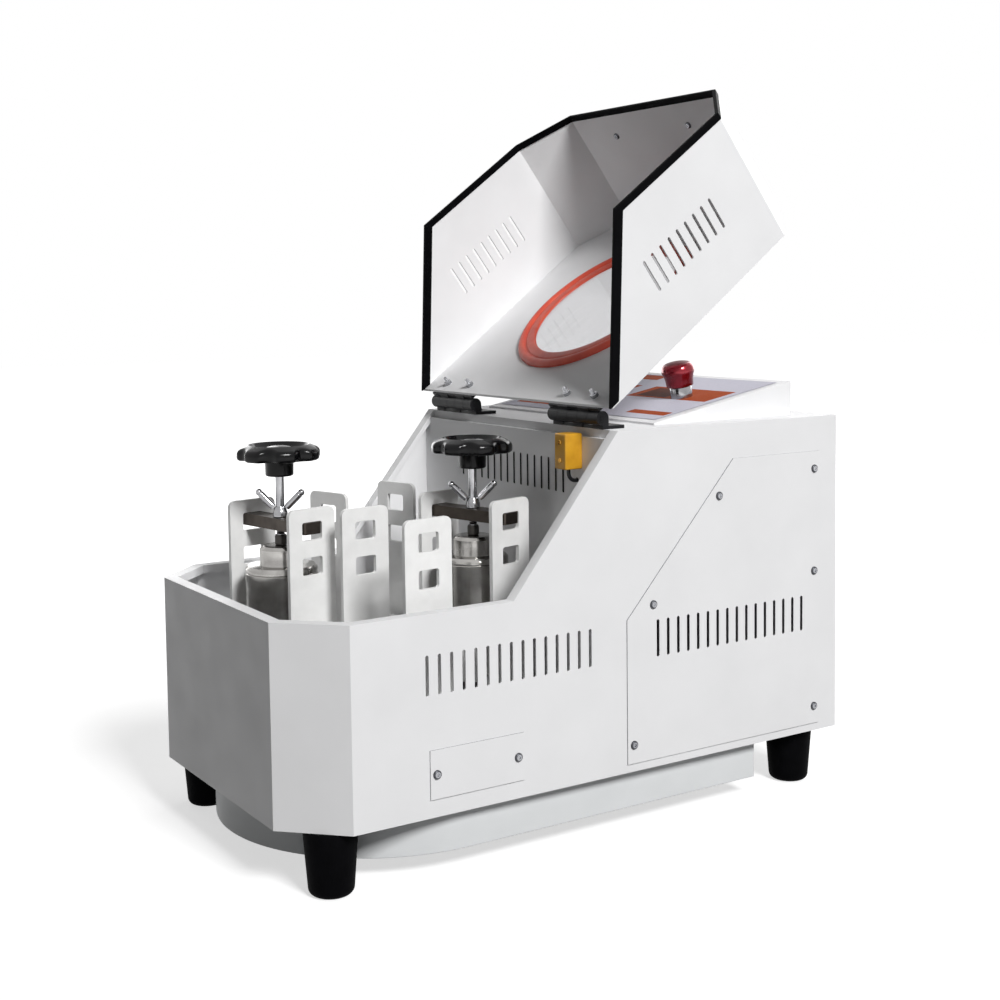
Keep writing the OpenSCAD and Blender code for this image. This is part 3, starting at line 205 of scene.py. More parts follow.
# Printed polyester film: flat ink under a satin face, with a faint dot screen in its ground
def printedFilm(name, colour, second):
    material, tree, shader, place = startFinish(name, specular_ior_level=0.02)
    # the real dots are about 0.2 mm apart; drawn at 1.6 mm so that they show
    dress(tree, shader, (colour, second), share=patches(tree, place, 1.6, detail=1),
          gloss=patches(tree, place, 30, 0.45, 0.55), relief=patches(tree, place, 2.5), depth=0.006)
    return material


# Four jar stations stand a quarter turn apart on a ring round the sun wheel's axis
stationRing = {"centre": (0, -164), "radius": 115.5, "first": -109, "withJar": (1, 3)}  # millimetres, degrees
sun = tuple(c * mm for c in stationRing["centre"])
stations = {}
for i in (1, 2, 3, 4):
    angle = math.radians(stationRing["first"] + 90 * (i - 1))
    stations[i] = (sun[0] + stationRing["radius"] * mm * math.cos(angle),
                   sun[1] + stationRing["radius"] * mm * math.sin(angle))

finishes = {
    "whiteCoat": powderCoat("whitePowderCoat", "#ebebec", "#e6e6e7"),
    "lidCoat": powderCoat("lidPowderCoat", "#ebebec", "#e5e5e6", rough=0.42),
    "greyCoat": powderCoat("greyPowderCoat", "#e0e2e3", "#d9dbdc"),
    # painted shade: this darker coat on the side covers' cut edges stands in for the shadow gap round them
    "paintedShadowGapEdge": powderCoat("paintedShadowGapCoat", "#8f9093", "#858689"),
    # painted shade: this dark coat on the slots' side faces stands in for the shade inside the back wall's
    # slots
    "paintedSlotShade": powderCoat("paintedSlotShadeCoat", "#3c3c3e", "#333335"),
    "blackCoat": powderCoat("blackPowderCoat", "#131315", "#1a1a1d", rough=0.42, level=0.15),
    "motorCoat": powderCoat("motorEnamel", "#4c5056", "#3e4248", peel=2.0),
    "castCoat": powderCoat("castIronPaint", "#5c5f63", "#484a4e", peel=3.0, rough=0.55),
    "footRubber": mouldedRubber("footRubber", "#050506", "#09090b"),
    "trimRubber": mouldedRubber("extrudedEdgeRubber", "#060607", "#0b0b0d", rough=0.5),
    "beltRubber": mouldedRubber("beltRubber", "#161618", "#242427"),
    "silicone": mouldedSilicone("siliconeGasket", "#e2593f", "#cd4935"),
    "acrylic": castAcrylic("castAcrylic", "#cbcbcd"),
    "satinHolder": satinMetal("blastedAluminium", "#f1f1f0", "#e9e9e8", rough=0.42, metallic=0.08, level=0.4),
    "barSteel": satinMetal("brownedSteel", "#4e4843", "#3d3834", rough=0.4, grain=1.2),
    "darkSteel": satinMetal("blackenedSteel", "#4a4846", "#343230", rough=0.38),
    "zinc": satinMetal("brightZincPlate", "#b4b5b8", "#8f9095", rough=0.24),
    # painted shade: a darker copy of the zinc for the flanks of the screw and bolt heads
    "zincPaintedShadeRim": satinMetal("paintedShadeZincPlate", "#55565a", "#45464a", rough=0.4),
    "chrome": satinMetal("brightChrome", "#b0b0b2", "#8a8a8d", rough=0.14, depth=0.004),
    "brass": satinMetal("turnedBrass", "#c79a4a", "#a67a30", rough=0.25),
    "disc": turnedSteel("facedSteelDisc", "#a3a5a8", "#96989b", sun, rough=0.34, ring=1.4),
    "gear": turnedSteel("groundGearSteel", "#a3a5a8", "#7c7e82", sun, rough=0.35),
    "phenolic": mouldedPlastic("glossPhenolic", "#030304", "#060608", rough=0.16, level=0.2),
    "buttonRed": mouldedPlastic("metallicRedCap", "#8a0c21", "#6c0817", rough=0.2, coat=0.5, metallic=0.6),
    # painted shade: a darker copy of the red cap for the button's dome
    "buttonPaintedShadeTop": mouldedPlastic("metallicRedPaintedShadeFace", "#6a0f1c", "#520a15", rough=0.34, metallic=0.5, level=0.2),
    "switchRed": mouldedPlastic("redRockerNylon", "#b4161c", "#97100f", rough=0.3),
    "sensorYellow": mouldedPlastic("yellowSensorNylon", "#dba32b", "#c58d1f", rough=0.34),
    "sensorFace": mouldedPlastic("darkSensorFace", "#2b2520", "#3a3026", rough=0.3),
    "socketNylon": mouldedPlastic("blackSocketNylon", "#151517", "#222225", rough=0.42),
    "sheath": mouldedPlastic("blackCableSheath", "#0f0f11", "#1a1a1c", rough=0.4),
    "inverterCase": mouldedPlastic("greyInverterCase", "#4a4d51", "#3b3e42", rough=0.5),
    "film": printedFilm("filmGround", "#c9c8d3", "#c0bfcb"),
    "filmOrange": printedFilm("filmOrangeInk", "#a5481f", "#964019"),
    "filmBrown": printedFilm("filmDarkInk", "#5a2a1a", "#482014"),
}
for i in stationRing["withJar"]:
    finishes[f"jar{i}"] = turnedSteel(f"polishedJar{i}", "#b3b1ae", "#8e8c89", stations[i], rough=0.17,
                                      depth=0.003)
print("stage: finishes")

# The frame's nodes that keep their own shape
finishOf = {
    "acrylic": ["lid_window"],
    "castCoat": ["bearing_housing", "carrier"],
    "disc": ["main_shaft"],
    "gear": ["main_bearings", "sun_gear", "motor_pulley", "driven_pulley", "planet_bearings"]
    + [f"{kind}_{i}" for kind in ("idler_gear", "planet_spindle") for i in stations],
    "beltRubber": ["drive_belt"],
}
for finish, names in finishOf.items():
    for name in names:
        nodes[name].data.materials.clear()
        nodes[name].data.materials.append(finishes[finish])
print("stage: finishes on the frame's own nodes")


# Ways of making a piece. A profile is a list of (radius, height) in millimetres, and the small numbers in it
# ease one form into the next.
def arc(x, z, r, start, end, steps):
    # degrees, from straight out towards straight up
    turns = [math.radians(start + (end - start) * k / steps) for k in range(steps + 1)]
    return [(x + r * math.cos(a), z + r * math.sin(a)) for a in turns]


def spun(profile, steps=64):
    bm = bmesh.new()
    points = [bm.verts.new((r * mm, 0, z * mm)) for r, z in profile]
    lines = [bm.edges.new(pair) for pair in zip(points, points[1:])]
    bmesh.ops.spin(bm, geom=points + lines, axis=(0, 0, 1), cent=(0, 0, 0), angle=2 * math.pi, steps=steps,
                   use_merge=True)
    bmesh.ops.remove_doubles(bm, verts=bm.verts, dist=touching)
    return bm


def putInto(whole, part, place=Matrix(), tone=None):
    if tone is not None:
        for face in part.faces:
            face.material_index = tone
    part.transform(place)
    held = bpy.data.meshes.new("held")
    part.to_mesh(held)
    part.free()
    whole.from_mesh(held)
    bpy.data.meshes.remove(held)


def finishPiece(bm, name, body, tones, node, rounding=None, crease=32):
    # shades the piece, eases its edges by rounding millimetres and rides it on its body in the node's place
    bmesh.ops.remove_doubles(bm, verts=bm.verts, dist=touching)
    bmesh.ops.recalc_face_normals(bm, faces=bm.faces)
    mesh = bpy.data.meshes.new(name)
    bm.to_mesh(mesh)
    bm.free()
    for polygon in mesh.polygons:
        polygon.use_smooth = True
    mesh.set_sharp_from_angle(angle=math.radians(crease))
    for tone in tones:
        mesh.materials.append(finishes[tone])
    piece = bpy.data.objects.new(name, mesh)
    bpy.context.scene.collection.objects.link(piece)
    if rounding:
        edge = piece.modifiers.new("roundedEdges", "BEVEL")
        edge.width, edge.segments = rounding * mm, 2
        edge.limit_method, edge.angle_limit = "ANGLE", math.radians(32)
        edge.use_clamp_overlap, edge.harden_normals = True, True
    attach(piece, body)
    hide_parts(node)


def at(x, y, z=0.0, turn=0.0):
    return Matrix.Translation((x, y, z)) @ Matrix.Rotation(math.radians(turn), 4, "Z")


def threaded(low, high, r, pitch, depth):
    # the outline of a thread from low to high, as ridges
    starts = [low + k * pitch for k in range(round((high - low) / pitch))]
    return [p for z in starts for p in ((r, z), (r - depth, z + 0.5 * pitch))] + [(r, high)]


def looseParts(name):
    # lowest and highest corner of every separate solid in one of the frame's nodes
    bm = bmesh.new()
    bm.from_mesh(nodes[name].data)
    bmesh.ops.remove_doubles(bm, verts=bm.verts, dist=touching)
    left, found = set(bm.verts), []
    while left:
        group, reach = set(), [next(iter(left))]
        while reach:
            v = reach.pop()
            if v not in group:
                group.add(v)
                reach += [e.other_vert(v) for e in v.link_edges]
        left -= group
        found.append(tuple(Vector(f(v.co[k] for v in group) for k in range(3)) for f in (min, max)))
    bm.free()
    return sorted(found, key=lambda b: tuple(round(c, 4) for c in b[0]))


# Softer copies of the frame's nodes: the same shape, with curves shaded smooth, and its folded or cut edges
# eased by the small radius that a press brake, a mould or the coat leaves
softCopies = {
    # node: name, body, slot, finish, radius in millimetres
    "casing": ("foldedCasing", "housing", "white_coat", "whiteCoat", 0.9),
    "well_back_wall": ("wellBackWall", "housing", "white_coat", "whiteCoat", 0.6),
    "rear_panel": ("rearPanel", "housing", "white_coat", "whiteCoat", 0.5),
    "side_covers": ("sideCovers", "housing", "white_coat", "whiteCoat", 0.2),
    "console_housing": ("consoleHousing", "housing", "white_coat", "whiteCoat", 0.9),
    "lid_shell": ("foldedLid", "lid", "white_coat", "lidCoat", 0.7),
    "lid_trim": ("lidEdgeTrim", "lid", "rubber_black", "trimRubber", 0.9),
    "floor_plate": ("floorPlate", "housing", "grey_coat", "greyCoat", 0.6),
    "belly_pan": ("bellyPan", "housing", "grey_coat", "greyCoat", 1.2),
    **{f"jar_holder_{i}": (f"earHolder{i}", f"holder_{i}", "holder_coat", "satinHolder", 0.9)
       for i in stations},
    **{f"clamp_bar_{i}": (f"clampBar{i}", f"bar_{i}", "dark_steel", "barSteel", 0.7)
       for i in stationRing["withJar"]},
    "hinge_fixed_leaves": ("hingeLower", "housing", "black_steel", "blackCoat", 0.5),
    "hinge_moving_leaves": ("hingeUpper", "lid", "black_steel", "blackCoat", 0.5),
    "lid_handle": ("pullHandle", "lid", "black_steel", "blackCoat", 0.4),
    "power_inlet": ("powerInlet", "housing", "socket_black", "socketNylon", 0.5),
    "power_switch": ("rockerSwitch", "mains_switch", "switch_red", "switchRed", 0.5),
    "motor": ("driveMotor", "housing", "motor_grey", "motorCoat", 0.5),
    "inverter": ("inverterBox", "housing", "inverter_grey", "inverterCase", 0.8),
    "sun_disc": ("sunDisc", "sun_wheel", "disc_steel", "disc", 0.5),
}

# Cut edges get darker tones of painted shade: grey lines for the shadow gap round the side covers, and dark
# slots behind the jars. A row holds the axis that the sheet faces, the two heights its edges lie between, and
# their tone.
paintedShadeEdges = {"side_covers": (0, 0, 500, "paintedShadowGapEdge"), "well_back_wall": (1, 388, 432, "paintedSlotShade")}


def makeSoftCopy(node, name, body, slot, tone, radius):
    bm = bmesh.new()
    bm.from_mesh(nodes[node].data)
    bmesh.ops.remove_doubles(bm, verts=bm.verts, dist=touching)
    if node != "lid_trim":  # a thin frame, which merging its flat faces would close
        bmesh.ops.dissolve_limit(bm, angle_limit=math.radians(0.4), verts=bm.verts, edges=bm.edges)
    tones = [tone]
    # the edge faces picked here take a tone of painted shade
    if node in paintedShadeEdges:
        axis, low, high, paintedShadeTone = paintedShadeEdges[node]
        tones.append(paintedShadeTone)
        for face in bm.faces:
            height = face.calc_center_median().z / mm
            face.material_index = int(abs(face.normal[axis]) < 0.5 and low < height < high)
    finishPiece(bm, name, body, tones, node, rounding=radius, crease=28)


for node, row in softCopies.items():
    makeSoftCopy(node, *row)
print("stage: sheet metal, holders, hinges, drive")


# Handwheels: a lobed rim with rolled edges, a dished face and a low dome over the screw's end
handwheel = {"radius": 49, "thick": 18, "lobes": 7, "stepsPerLobe": 24, "cutRadius": 13, "dip": 6.4,
             "smoothing": 2, "edge": 4.2, "ridge": 35.5, "fall": 5.6, "crown": 8, "dishDepth": 6,
             "domeRadius": 17, "domeHeight": 4.6, "hubRadius": 16.5, "bore": 5.3, "turn": {1: 11, 3: 14.4}}


def makeHandwheel(i, s):
    hubLow, high = (c.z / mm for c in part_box(f"handwheel_{i}"))
    low = high - s["thick"]
    bm = bmesh.new()
    count = s["lobes"] * s["stepsPerLobe"]
    made = bmesh.ops.create_circle(bm, cap_ends=True, segments=count, radius=s["radius"] * mm)
    lobe = 2 * math.pi / s["lobes"]
    out = s["radius"] + s["cutRadius"] - s["dip"]
    for v in made["verts"]:  # round cuts between the lobes
        a = (math.atan2(v.co.y, v.co.x) + lobe / 2) % lobe - lobe / 2
        reach = s["cutRadius"] ** 2 - (out * math.sin(a)) ** 2
        if reach > 0:
            v.co *= min(1, (out * math.cos(a) - math.sqrt(reach)) / s["radius"])
    for _ in range(s["smoothing"]):
        bmesh.ops.smooth_vert(bm, verts=bm.verts, factor=0.5, use_axis_x=True, use_axis_y=True)
    bmesh.ops.translate(bm, verts=bm.verts, vec=(0, 0, low * mm))
    raised = bmesh.ops.extrude_face_region(bm, geom=bm.faces[:], use_keep_orig=True)
    top = [g for g in raised["geom"] if isinstance(g, bmesh.types.BMFace)]
    bmesh.ops.translate(bm, verts=list({v for f in top for v in f.verts}), vec=(0, 0, s["thick"] * mm))
    rim = [e for e in bm.edges if len(e.link_faces) == 2 and e.calc_face_angle(0) > math.radians(60)]
    bmesh.ops.bevel(bm, geom=rim, offset=s["edge"] * mm, segments=5, profile=0.5, affect="EDGES", material=-1)
    # the flat top gives way to the dish
    flat = max(bm.faces, key=lambda f: f.calc_center_median().z * 10 + f.calc_area())
    bmesh.ops.delete(bm, geom=[flat], context="FACES_ONLY")
    dish = bmesh.new()
    bmesh.ops.create_circle(dish, cap_ends=False, segments=count, radius=s["ridge"] * mm)
    putInto(bm, dish, Matrix.Translation((0, 0, high * mm)))
    bmesh.ops.bridge_loops(bm, edges=[e for e in bm.edges if e.is_boundary or e.is_wire])
    for v in bm.verts:  # the crown falls away from its ridge to the tips of the lobes
        if v.co.z > (high - s["crown"]) * mm:
            v.co.z -= s["fall"] * mm * max(0, v.co.xy.length / mm - s["ridge"]) / (s["radius"] - s["ridge"])
    ridge, dome, depth = s["ridge"], s["domeRadius"], high - s["dishDepth"]
    inner = [(ridge, high), (ridge - 1.0, high - 0.5), (ridge - 3.2, depth + 1.4), (ridge - 5.5, depth + 0.2),
             (ridge - 8, depth), (dome + 1.5, depth), (dome, depth + 0.5)]
    inner += [(dome * c, depth + 0.5 + (s["domeHeight"] - 0.5) * h) for c, h in arc(0, 0, 1, 15, 90, 5)]
    putInto(bm, spun(inner, count))
    wide, bore = s["hubRadius"], s["bore"]
    hub = [(bore, low + 2), (bore, hubLow), (wide - 3, hubLow)]
    hub += arc(wide - 2.6, hubLow + 2.6, 2.6, -80, 0, 5)
    hub += [(wide + 0.3, low - 3.2), (wide + 1.6, low - 0.8), (wide + 4, low + 0.3), (wide + 2, low + 2),
            (bore, low + 2)]
    putInto(bm, spun(hub, 56))
    bm.transform(at(*stations[i], 0, s["turn"][i]))
    finishPiece(bm, f"lobedHandwheel{i}", f"screw_{i}", ["phenolic"], f"handwheel_{i}",
                crease=40)


# Clamp screws: a bright rod, threaded where it runs through the bar, and the foot that presses on the jar
clampScrew = {"radius": 5, "tip": 0.8, "end": 0.5, "threadLow": 350, "threadHigh": 374, "pitch": 2,
              "threadDepth": 0.65, "footRadius": 7, "footChamfer": 0.8, "footTaper": 2, "socketDepth": 5.6,
              "socketPlay": 0.3}


def makeClampScrew(i, s):
    r = s["radius"]
    low, high = (c.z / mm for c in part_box(f"clamp_screw_{i}"))
    rod = [(0, low), (r - s["tip"], low), (r, low + s["tip"])]
    rod += threaded(s["threadLow"], s["threadHigh"], r, s["pitch"], s["threadDepth"])
    rod += [(r, high - s["end"]), (r - s["end"], high), (0, high)]
    bm = spun(rod, 40)
    bm.transform(at(*stations[i]))
    finishPiece(bm, f"threadedRod{i}", f"screw_{i}", ["chrome"], f"clamp_screw_{i}")

    low, high = (c.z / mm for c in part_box(f"pressure_pad_{i}"))
    foot, c = s["footRadius"], s["footChamfer"]
    socket, bottom = r + s["socketPlay"], high - s["socketDepth"]
    bm = spun([(0, low), (foot - c, low), (foot, low + c), (foot, high - s["footTaper"]), (foot - c, high),
               (socket, high), (socket, bottom), (0, bottom)], 48)
    bm.transform(at(*stations[i]))
    finishPiece(bm, f"swivelFoot{i}", f"pad_{i}", ["darkSteel"], f"pressure_pad_{i}")


# Lock nuts: a turned hub with two levers that lean outwards, each with a bead at its tip. The hub's outline
# is measured from its radius and its foot.
lockNut = {"hubRadius": 8.5, "hub": [(-0.6, 0), (0, 0.6), (0, 5.5), (-0.7, 7), (-1.2, 9)], "height": 12,
           "bore": 5.25, "leverRadius": 4, "leverStart": 7, "leverLength": 32, "lean": 45, "root": 2.975,
           "turn": {1: 48, 3: 62}}


def makeLockNut(i, s):
    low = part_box(f"lock_nut_{i}")[0].z / mm
    r, h, b = s["hubRadius"], s["height"], s["bore"]
    bm = spun([(b, low)] + [(r + out, low + up) for out, up in s["hub"]]
              + [(b + 0.9, low + h), (b, low + h), (b, low)], 48)
    thick, start, end = s["leverRadius"], s["leverStart"], s["leverLength"]
    lever = [(0, start), (thick - 0.5, start), (thick, start + 3), (thick, end - 3), (thick - 0.5, end - 2.4),
             (thick - 0.5, end - 1.6), (thick, end - 0.8)] + arc(0, end, thick, 5, 90, 7)
    for side in (0, 180):
        place = Matrix.Rotation(math.radians(side), 4, "Z") @ Matrix.Translation(
            (s["root"] * mm, 0, (low + h / 2) * mm)) @ Matrix.Rotation(math.radians(s["lean"]), 4, "Y")
        putInto(bm, spun(lever, 28), place)
    bm.transform(at(*stations[i], 0, s["turn"][i]))
    finishPiece(bm, f"leverNut{i}", f"nut_{i}", ["chrome"], f"lock_nut_{i}", crease=35)


# Jars: turned pot and lid, with the parting line under the lid's shoulder and a chamfered boss. The lid's and
# the boss's heights are measured down from the top.
jar = {"radius": 42, "footEdge": 3, "lidHeight": 31, "bossHeight": 23, "bossRadius": 25, "shoulderEdge": 3,
       "bossEdge": 4}


def makeJar(i, s):
    seat, top = (c.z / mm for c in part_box(f"jar_{i}"))
    r, foot, part = s["radius"], s["footEdge"], top - s["lidHeight"]
    profile = [(0, seat), (r - foot, seat)] + arc(r - foot, seat + foot, foot, -75, 0, 4)
    profile += [(r, part - 0.9), (r - 0.5, part - 0.4), (r - 0.7, part - 0.1), (r - 0.5, part + 0.3),
                (r, part + 0.8)]
    shoulder, edge = top - s["bossHeight"], s["shoulderEdge"]
    profile += [(r, shoulder - edge - 0.4), (r - 0.3, shoulder - edge + 0.3),
                (r - edge + 0.4, shoulder - 0.2), (r - edge - 0.5, shoulder)]
    boss, edge = s["bossRadius"], s["bossEdge"]
    profile += [(boss + 1.2, shoulder), (boss + 0.3, shoulder + 0.3), (boss, shoulder + 1.2),
                (boss, top - edge - 0.3), (boss - 0.4, top - edge + 0.5), (boss - edge + 0.5, top - 0.3),
                (boss - edge - 0.5, top), (0, top)]
    bm = spun(profile, 96)
    bm.transform(at(*stations[i]))
    finishPiece(bm, f"steelJar{i}", f"holder_{i}", [f"jar{i}"], f"jar_{i}", crease=25)


for i in stationRing["withJar"]:
    makeHandwheel(i, handwheel)
    makeClampScrew(i, clampScrew)
    makeLockNut(i, lockNut)
    makeJar(i, jar)
print("stage: jars and clamps")


# Lid parts are drawn with the lid shut and then swung open with it
lidSwing = {"hingeY": 29.2, "hingeZ": 483.1, "open": 143, "sheetTop": 470, "sheet": 2}
lidUnder = lidSwing["sheetTop"] - lidSwing["sheet"]
hinge = Matrix.Translation((0, lidSwing["hingeY"] * mm, lidSwing["hingeZ"] * mm))
lidPlace = hinge @ Matrix.Rotation(math.radians(-lidSwing["open"]), 4, "X") @ hinge.inverted()

# Window gasket: a rolled outer bead, a groove, and a flat inner step that holds the window
gasket = {"outer": 130, "inner": 103, "low": 461, "bead": 6.2, "groove": 116.8, "step": 463.2, "seat": 116.5,
          "seatTop": 466}


def makeGasket(s):
    bead, groove, inner, step = s["bead"], s["groove"], s["inner"], s["step"]
    middle = s["outer"] - bead
    profile = [(s["outer"], lidUnder)]
    profile += [(middle + bead * c, s["low"] + bead * (1 - h)) for c, h in arc(0, 0, 1, 0, 150, 14)]
    profile += [(groove + 0.6, step + 0.9), (groove, step + 1.3), (groove - 0.8, step + 0.4),
                (groove - 1.8, step), (inner + 3, step + 0.2), (inner + 1, step + 0.7), (inner, step + 1.8),
                (inner, s["seatTop"]), (s["seat"], s["seatTop"]), (s["seat"], lidUnder),
                (s["outer"], lidUnder)]
    bm = spun(profile, 128)
    bm.transform(lidPlace @ at(*sun))
    finishPiece(bm, "siliconeGasket", "lid", ["silicone"], "window_ring", crease=45)


makeGasket(gasket)


# Screw heads: a low dome with a shallow round socket. The outline and the place where the flank with painted
# shade starts are shares of the head's radius and height.
screwHead = {"outline": [(0, 0.62), (0.3, 0.62), (0.36, 0.96), (0.46, 1.0), (0.66, 0.96), (0.84, 0.84),
                         (0.95, 0.62), (1.0, 0.34), (1.0, 0), (0, 0)], "flank": 0.7}


def panHead(radius, height):
    bm = spun([(r * radius, z * height) for r, z in screwHead["outline"]], 28)
    bmesh.ops.recalc_face_normals(bm, faces=bm.faces)
    # the flank takes the second tone, the painted shade
    for face in bm.faces:
        face.material_index = int(face.calc_center_median().xy.length > screwHead["flank"] * radius * mm)
    return bm


# Cover screws: the ones on the hinges stand upright and are longer; the rest face the rear or a side
screws = {"height": 2.5, "leafHeight": 2.8, "longer": 1.2, "rearFrom": 360, "turn": 37}


def makeCoverScrews(s):
    bm = bmesh.new()
    for k, (low, high) in enumerate(looseParts("cover_screws")):
        size, middle = high - low, (low + high) / 2
        way = 2 if size.z > s["longer"] * size.x else 1 if high.y > s["rearFrom"] * mm else 0
        height = s["leafHeight"] if way == 2 else s["height"]
        sign = -1 if way == 0 and middle.x < 0 else 1
        outward = Vector([sign if n == way else 0 for n in range(3)])
        middle[way] = (high[way] if sign > 0 else low[way]) - sign * height * mm
        place = Matrix.Translation(middle) @ outward.to_track_quat("Z", "Y").to_matrix().to_4x4()
        head = panHead(min(size[n] for n in range(3) if n != way) / 2 / mm, height)
        putInto(bm, head, place @ at(0, 0, 0, s["turn"] * k))
    finishPiece(bm, "panHeadScrews", "housing", ["zinc", "zincPaintedShadeRim"], "cover_screws", crease=35)


makeCoverScrews(screws)

# Lid bolts: heads on the hinge leaves, nuts and stud ends inside, and the two handle screws at the front
lidBolts = {"across": [-165.5, -110.5, 110.5, 165.5], "back": 10.2, "leaf": 4, "headRadius": 4.5,
            "headHeight": 2.8, "headTurn": 51, "nutRadius": 5, "nutHeight": 5, "nutStart": 22, "nutTurn": 35,
            "studRadius": 2.5, "studLength": 6, "studPitch": 0.93, "studThread": 0.4, "handleAcross": 75,
            "handleReach": 20}


def makeLidBolts(s):
    bm = bmesh.new()
    top = (lidSwing["sheetTop"] + s["leaf"]) * mm
    r, nutLow = s["nutRadius"], lidUnder - s["nutHeight"]
    low, thin = nutLow - s["studLength"], s["studRadius"]
    stud = [(0, low), (thin - 0.5, low)]
    stud += threaded(low + 0.5, nutLow + 0.5, thin, s["studPitch"], s["studThread"]) + [(0, nutLow + 1)]
    for k, x in enumerate(s["across"]):
        spot = lidPlace @ Matrix.Translation((x * mm, s["back"] * mm, 0))
        putInto(bm, panHead(s["headRadius"], s["headHeight"]), spot @ at(0, 0, top, s["headTurn"] * k))
        nut = spun([(0, lidUnder), (r * 0.92, lidUnder), (r, lidUnder - 0.5), (r, nutLow + 0.6),
                    (r * 0.88, nutLow), (0, nutLow)], 6)
        putInto(bm, nut, spot @ at(0, 0, 0, s["nutStart"] + s["nutTurn"] * k))
        putInto(bm, spun(stud, 20), spot)
    for low, high in looseParts("lid_fasteners"):
        middle = (low + high) / 2
        if abs(abs(middle.x) / mm - s["handleAcross"]) < 1:
            middle = lidPlace.inverted() @ middle
            middle.y += (s["handleReach"] - s["headHeight"]) / 2 * mm
            putInto(bm, panHead(s["headRadius"], s["headHeight"]),
                    lidPlace @ Matrix.Translation(middle) @ Matrix.Rotation(math.radians(-90), 4, "X"))
    finishPiece(bm, "lidBolts", "lid", ["zinc", "zincPaintedShadeRim"], "lid_fasteners", crease=35)


makeLidBolts(lidBolts)
print("stage: gasket, screws and bolts")

# The console's slope, with +Z square to it and its origin at its front edge
console = {"front": 109, "low": 472.5, "slope": 10.477}
slopePlace = Matrix.Translation((0, console["front"] * mm, console["low"] * mm)) @ Matrix.Rotation(
    math.radians(console["slope"]), 4, "X")

# Stop button: a waisted red cap with a rolled edge and a low dome, its skirt hanging over a bright collar
stopButton = {"across": 98, "up": 114, "stem": 8, "stemLow": -7.5, "low": 15.2, "under": 19.5, "foot": 17,
              "waist": [(0, 0.4), (0.3, 4), (0.9, 9), (2.1, 14)],  # out from the foot, up from the low edge
              "radius": 21, "wide": 35, "edge": 7.2, "rise": 9.8, "high": 47, "collar": 14, "collarHigh": 15,
              "play": 0.5}


def makeStopButton(s):
    spot = slopePlace @ Matrix.Translation((s["across"] * mm, s["up"] * mm, 0))
    hollow, low, foot = s["collar"] + s["play"], s["low"], s["foot"]
    cap = [(0, s["stemLow"]), (s["stem"], s["stemLow"]), (s["stem"], s["under"]), (hollow, s["under"]),
           (hollow, low + 0.4), (hollow + 0.4, low), (foot - 0.4, low)]
    cap += [(foot + out, low + up) for out, up in s["waist"]] + [(s["radius"] - 0.4, s["wide"] - 3)]
    cap += [(s["radius"] - s["edge"] * (1 - c), s["wide"] + s["rise"] * h)
            for c, h in arc(0, 0, 1, 0, 80, 10)]
    bm = spun(cap, 96)
    flat, top = cap[-1]
    dome = [(flat * k, s["high"] - (s["high"] - top) * k * k) for k in (1, 0.85, 0.65, 0.45, 0.22, 0)]
    # the dome takes the second tone, a darker red of painted shade
    putInto(bm, spun(dome, 96), tone=1)
    bm.transform(spot)
    finishPiece(bm, "mushroomButton", "stop", ["buttonRed", "buttonPaintedShadeTop"], "stop_button",
                crease=60)

    c, h, bore = s["collar"], s["collarHigh"], s["stem"] + 0.4
    bm = spun([(bore, 0), (c, 0), (c, h - 1.6), (c - 0.4, h - 0.6), (c - 1.4, h), (bore, h), (bore, 0)])
    bm.transform(spot)
    finishPiece(bm, "buttonCollar", "housing", ["chrome"], "stop_collar", crease=25)


makeStopButton(stopButton)

# Console film: a pale printed sheet with plain orange and brown fields, all measured along the slope
consoleFilm = {"half": 170, "start": 12, "end": 210.7, "thick": 0.6,
               # x from, x to, up from, up to, ink
               "fields": [(0, 157, 100.5, 153, 1), (14, 74, 106, 147, 2), (88, 163, 30, 45.5, 1),
                          (-157, -38, 184, 207, 1), (-157, -38, 30, 45.5, 1), (-150, -30, 100.5, 153, 1)]}


def makeConsoleFilm(s):
    bm = bmesh.new()
    middle, reach = (s["start"] + s["end"]) / 2, (s["end"] - s["start"]) / 2
    bmesh.ops.create_grid(bm, x_segments=1, y_segments=1, size=mm)
    bmesh.ops.scale(bm, verts=bm.verts, vec=(s["half"], reach, 1))
    bmesh.ops.translate(bm, verts=bm.verts, vec=(0, middle * mm, s["thick"] * mm))
    for axis in (0, 1):  # cut along the fields' sides, across and then up the slope
        square = Vector((1 - axis, axis, 0))
        for cut in sorted({side for field in s["fields"] for side in field[2 * axis:2 * axis + 2]}):
            bmesh.ops.bisect_plane(bm, geom=bm.verts[:] + bm.edges[:] + bm.faces[:], dist=1e-7,
                                   plane_co=square * cut * mm, plane_no=square)
    for face in bm.faces:
        c = face.calc_center_median() / mm
        for x0, x1, y0, y1, ink in s["fields"]:
            if x0 < c.x < x1 and y0 < c.y < y1:
                face.material_index = ink
    bm.transform(slopePlace)
    finishPiece(bm, "printedFilm", "housing", ["film", "filmOrange", "filmBrown"], "console_film")


makeConsoleFilm(consoleFilm)
print("stage: console")

# Door sensor: a yellow body with a dark sunk face, two brass lugs, and its lead bent back into the wall
sensor = {"depth": 24.4, "edge": 1.6, "rim": 3, "sunk": 2.2, "lugs": (0.25, 0.75), "lugRadius": 3.0,
          "lugOut": 1.2, "leadBehind": 12.2, "leadRadius": 2.3, "leadDrop": 5, "leadBend": 9.4, "leadIn": 9}


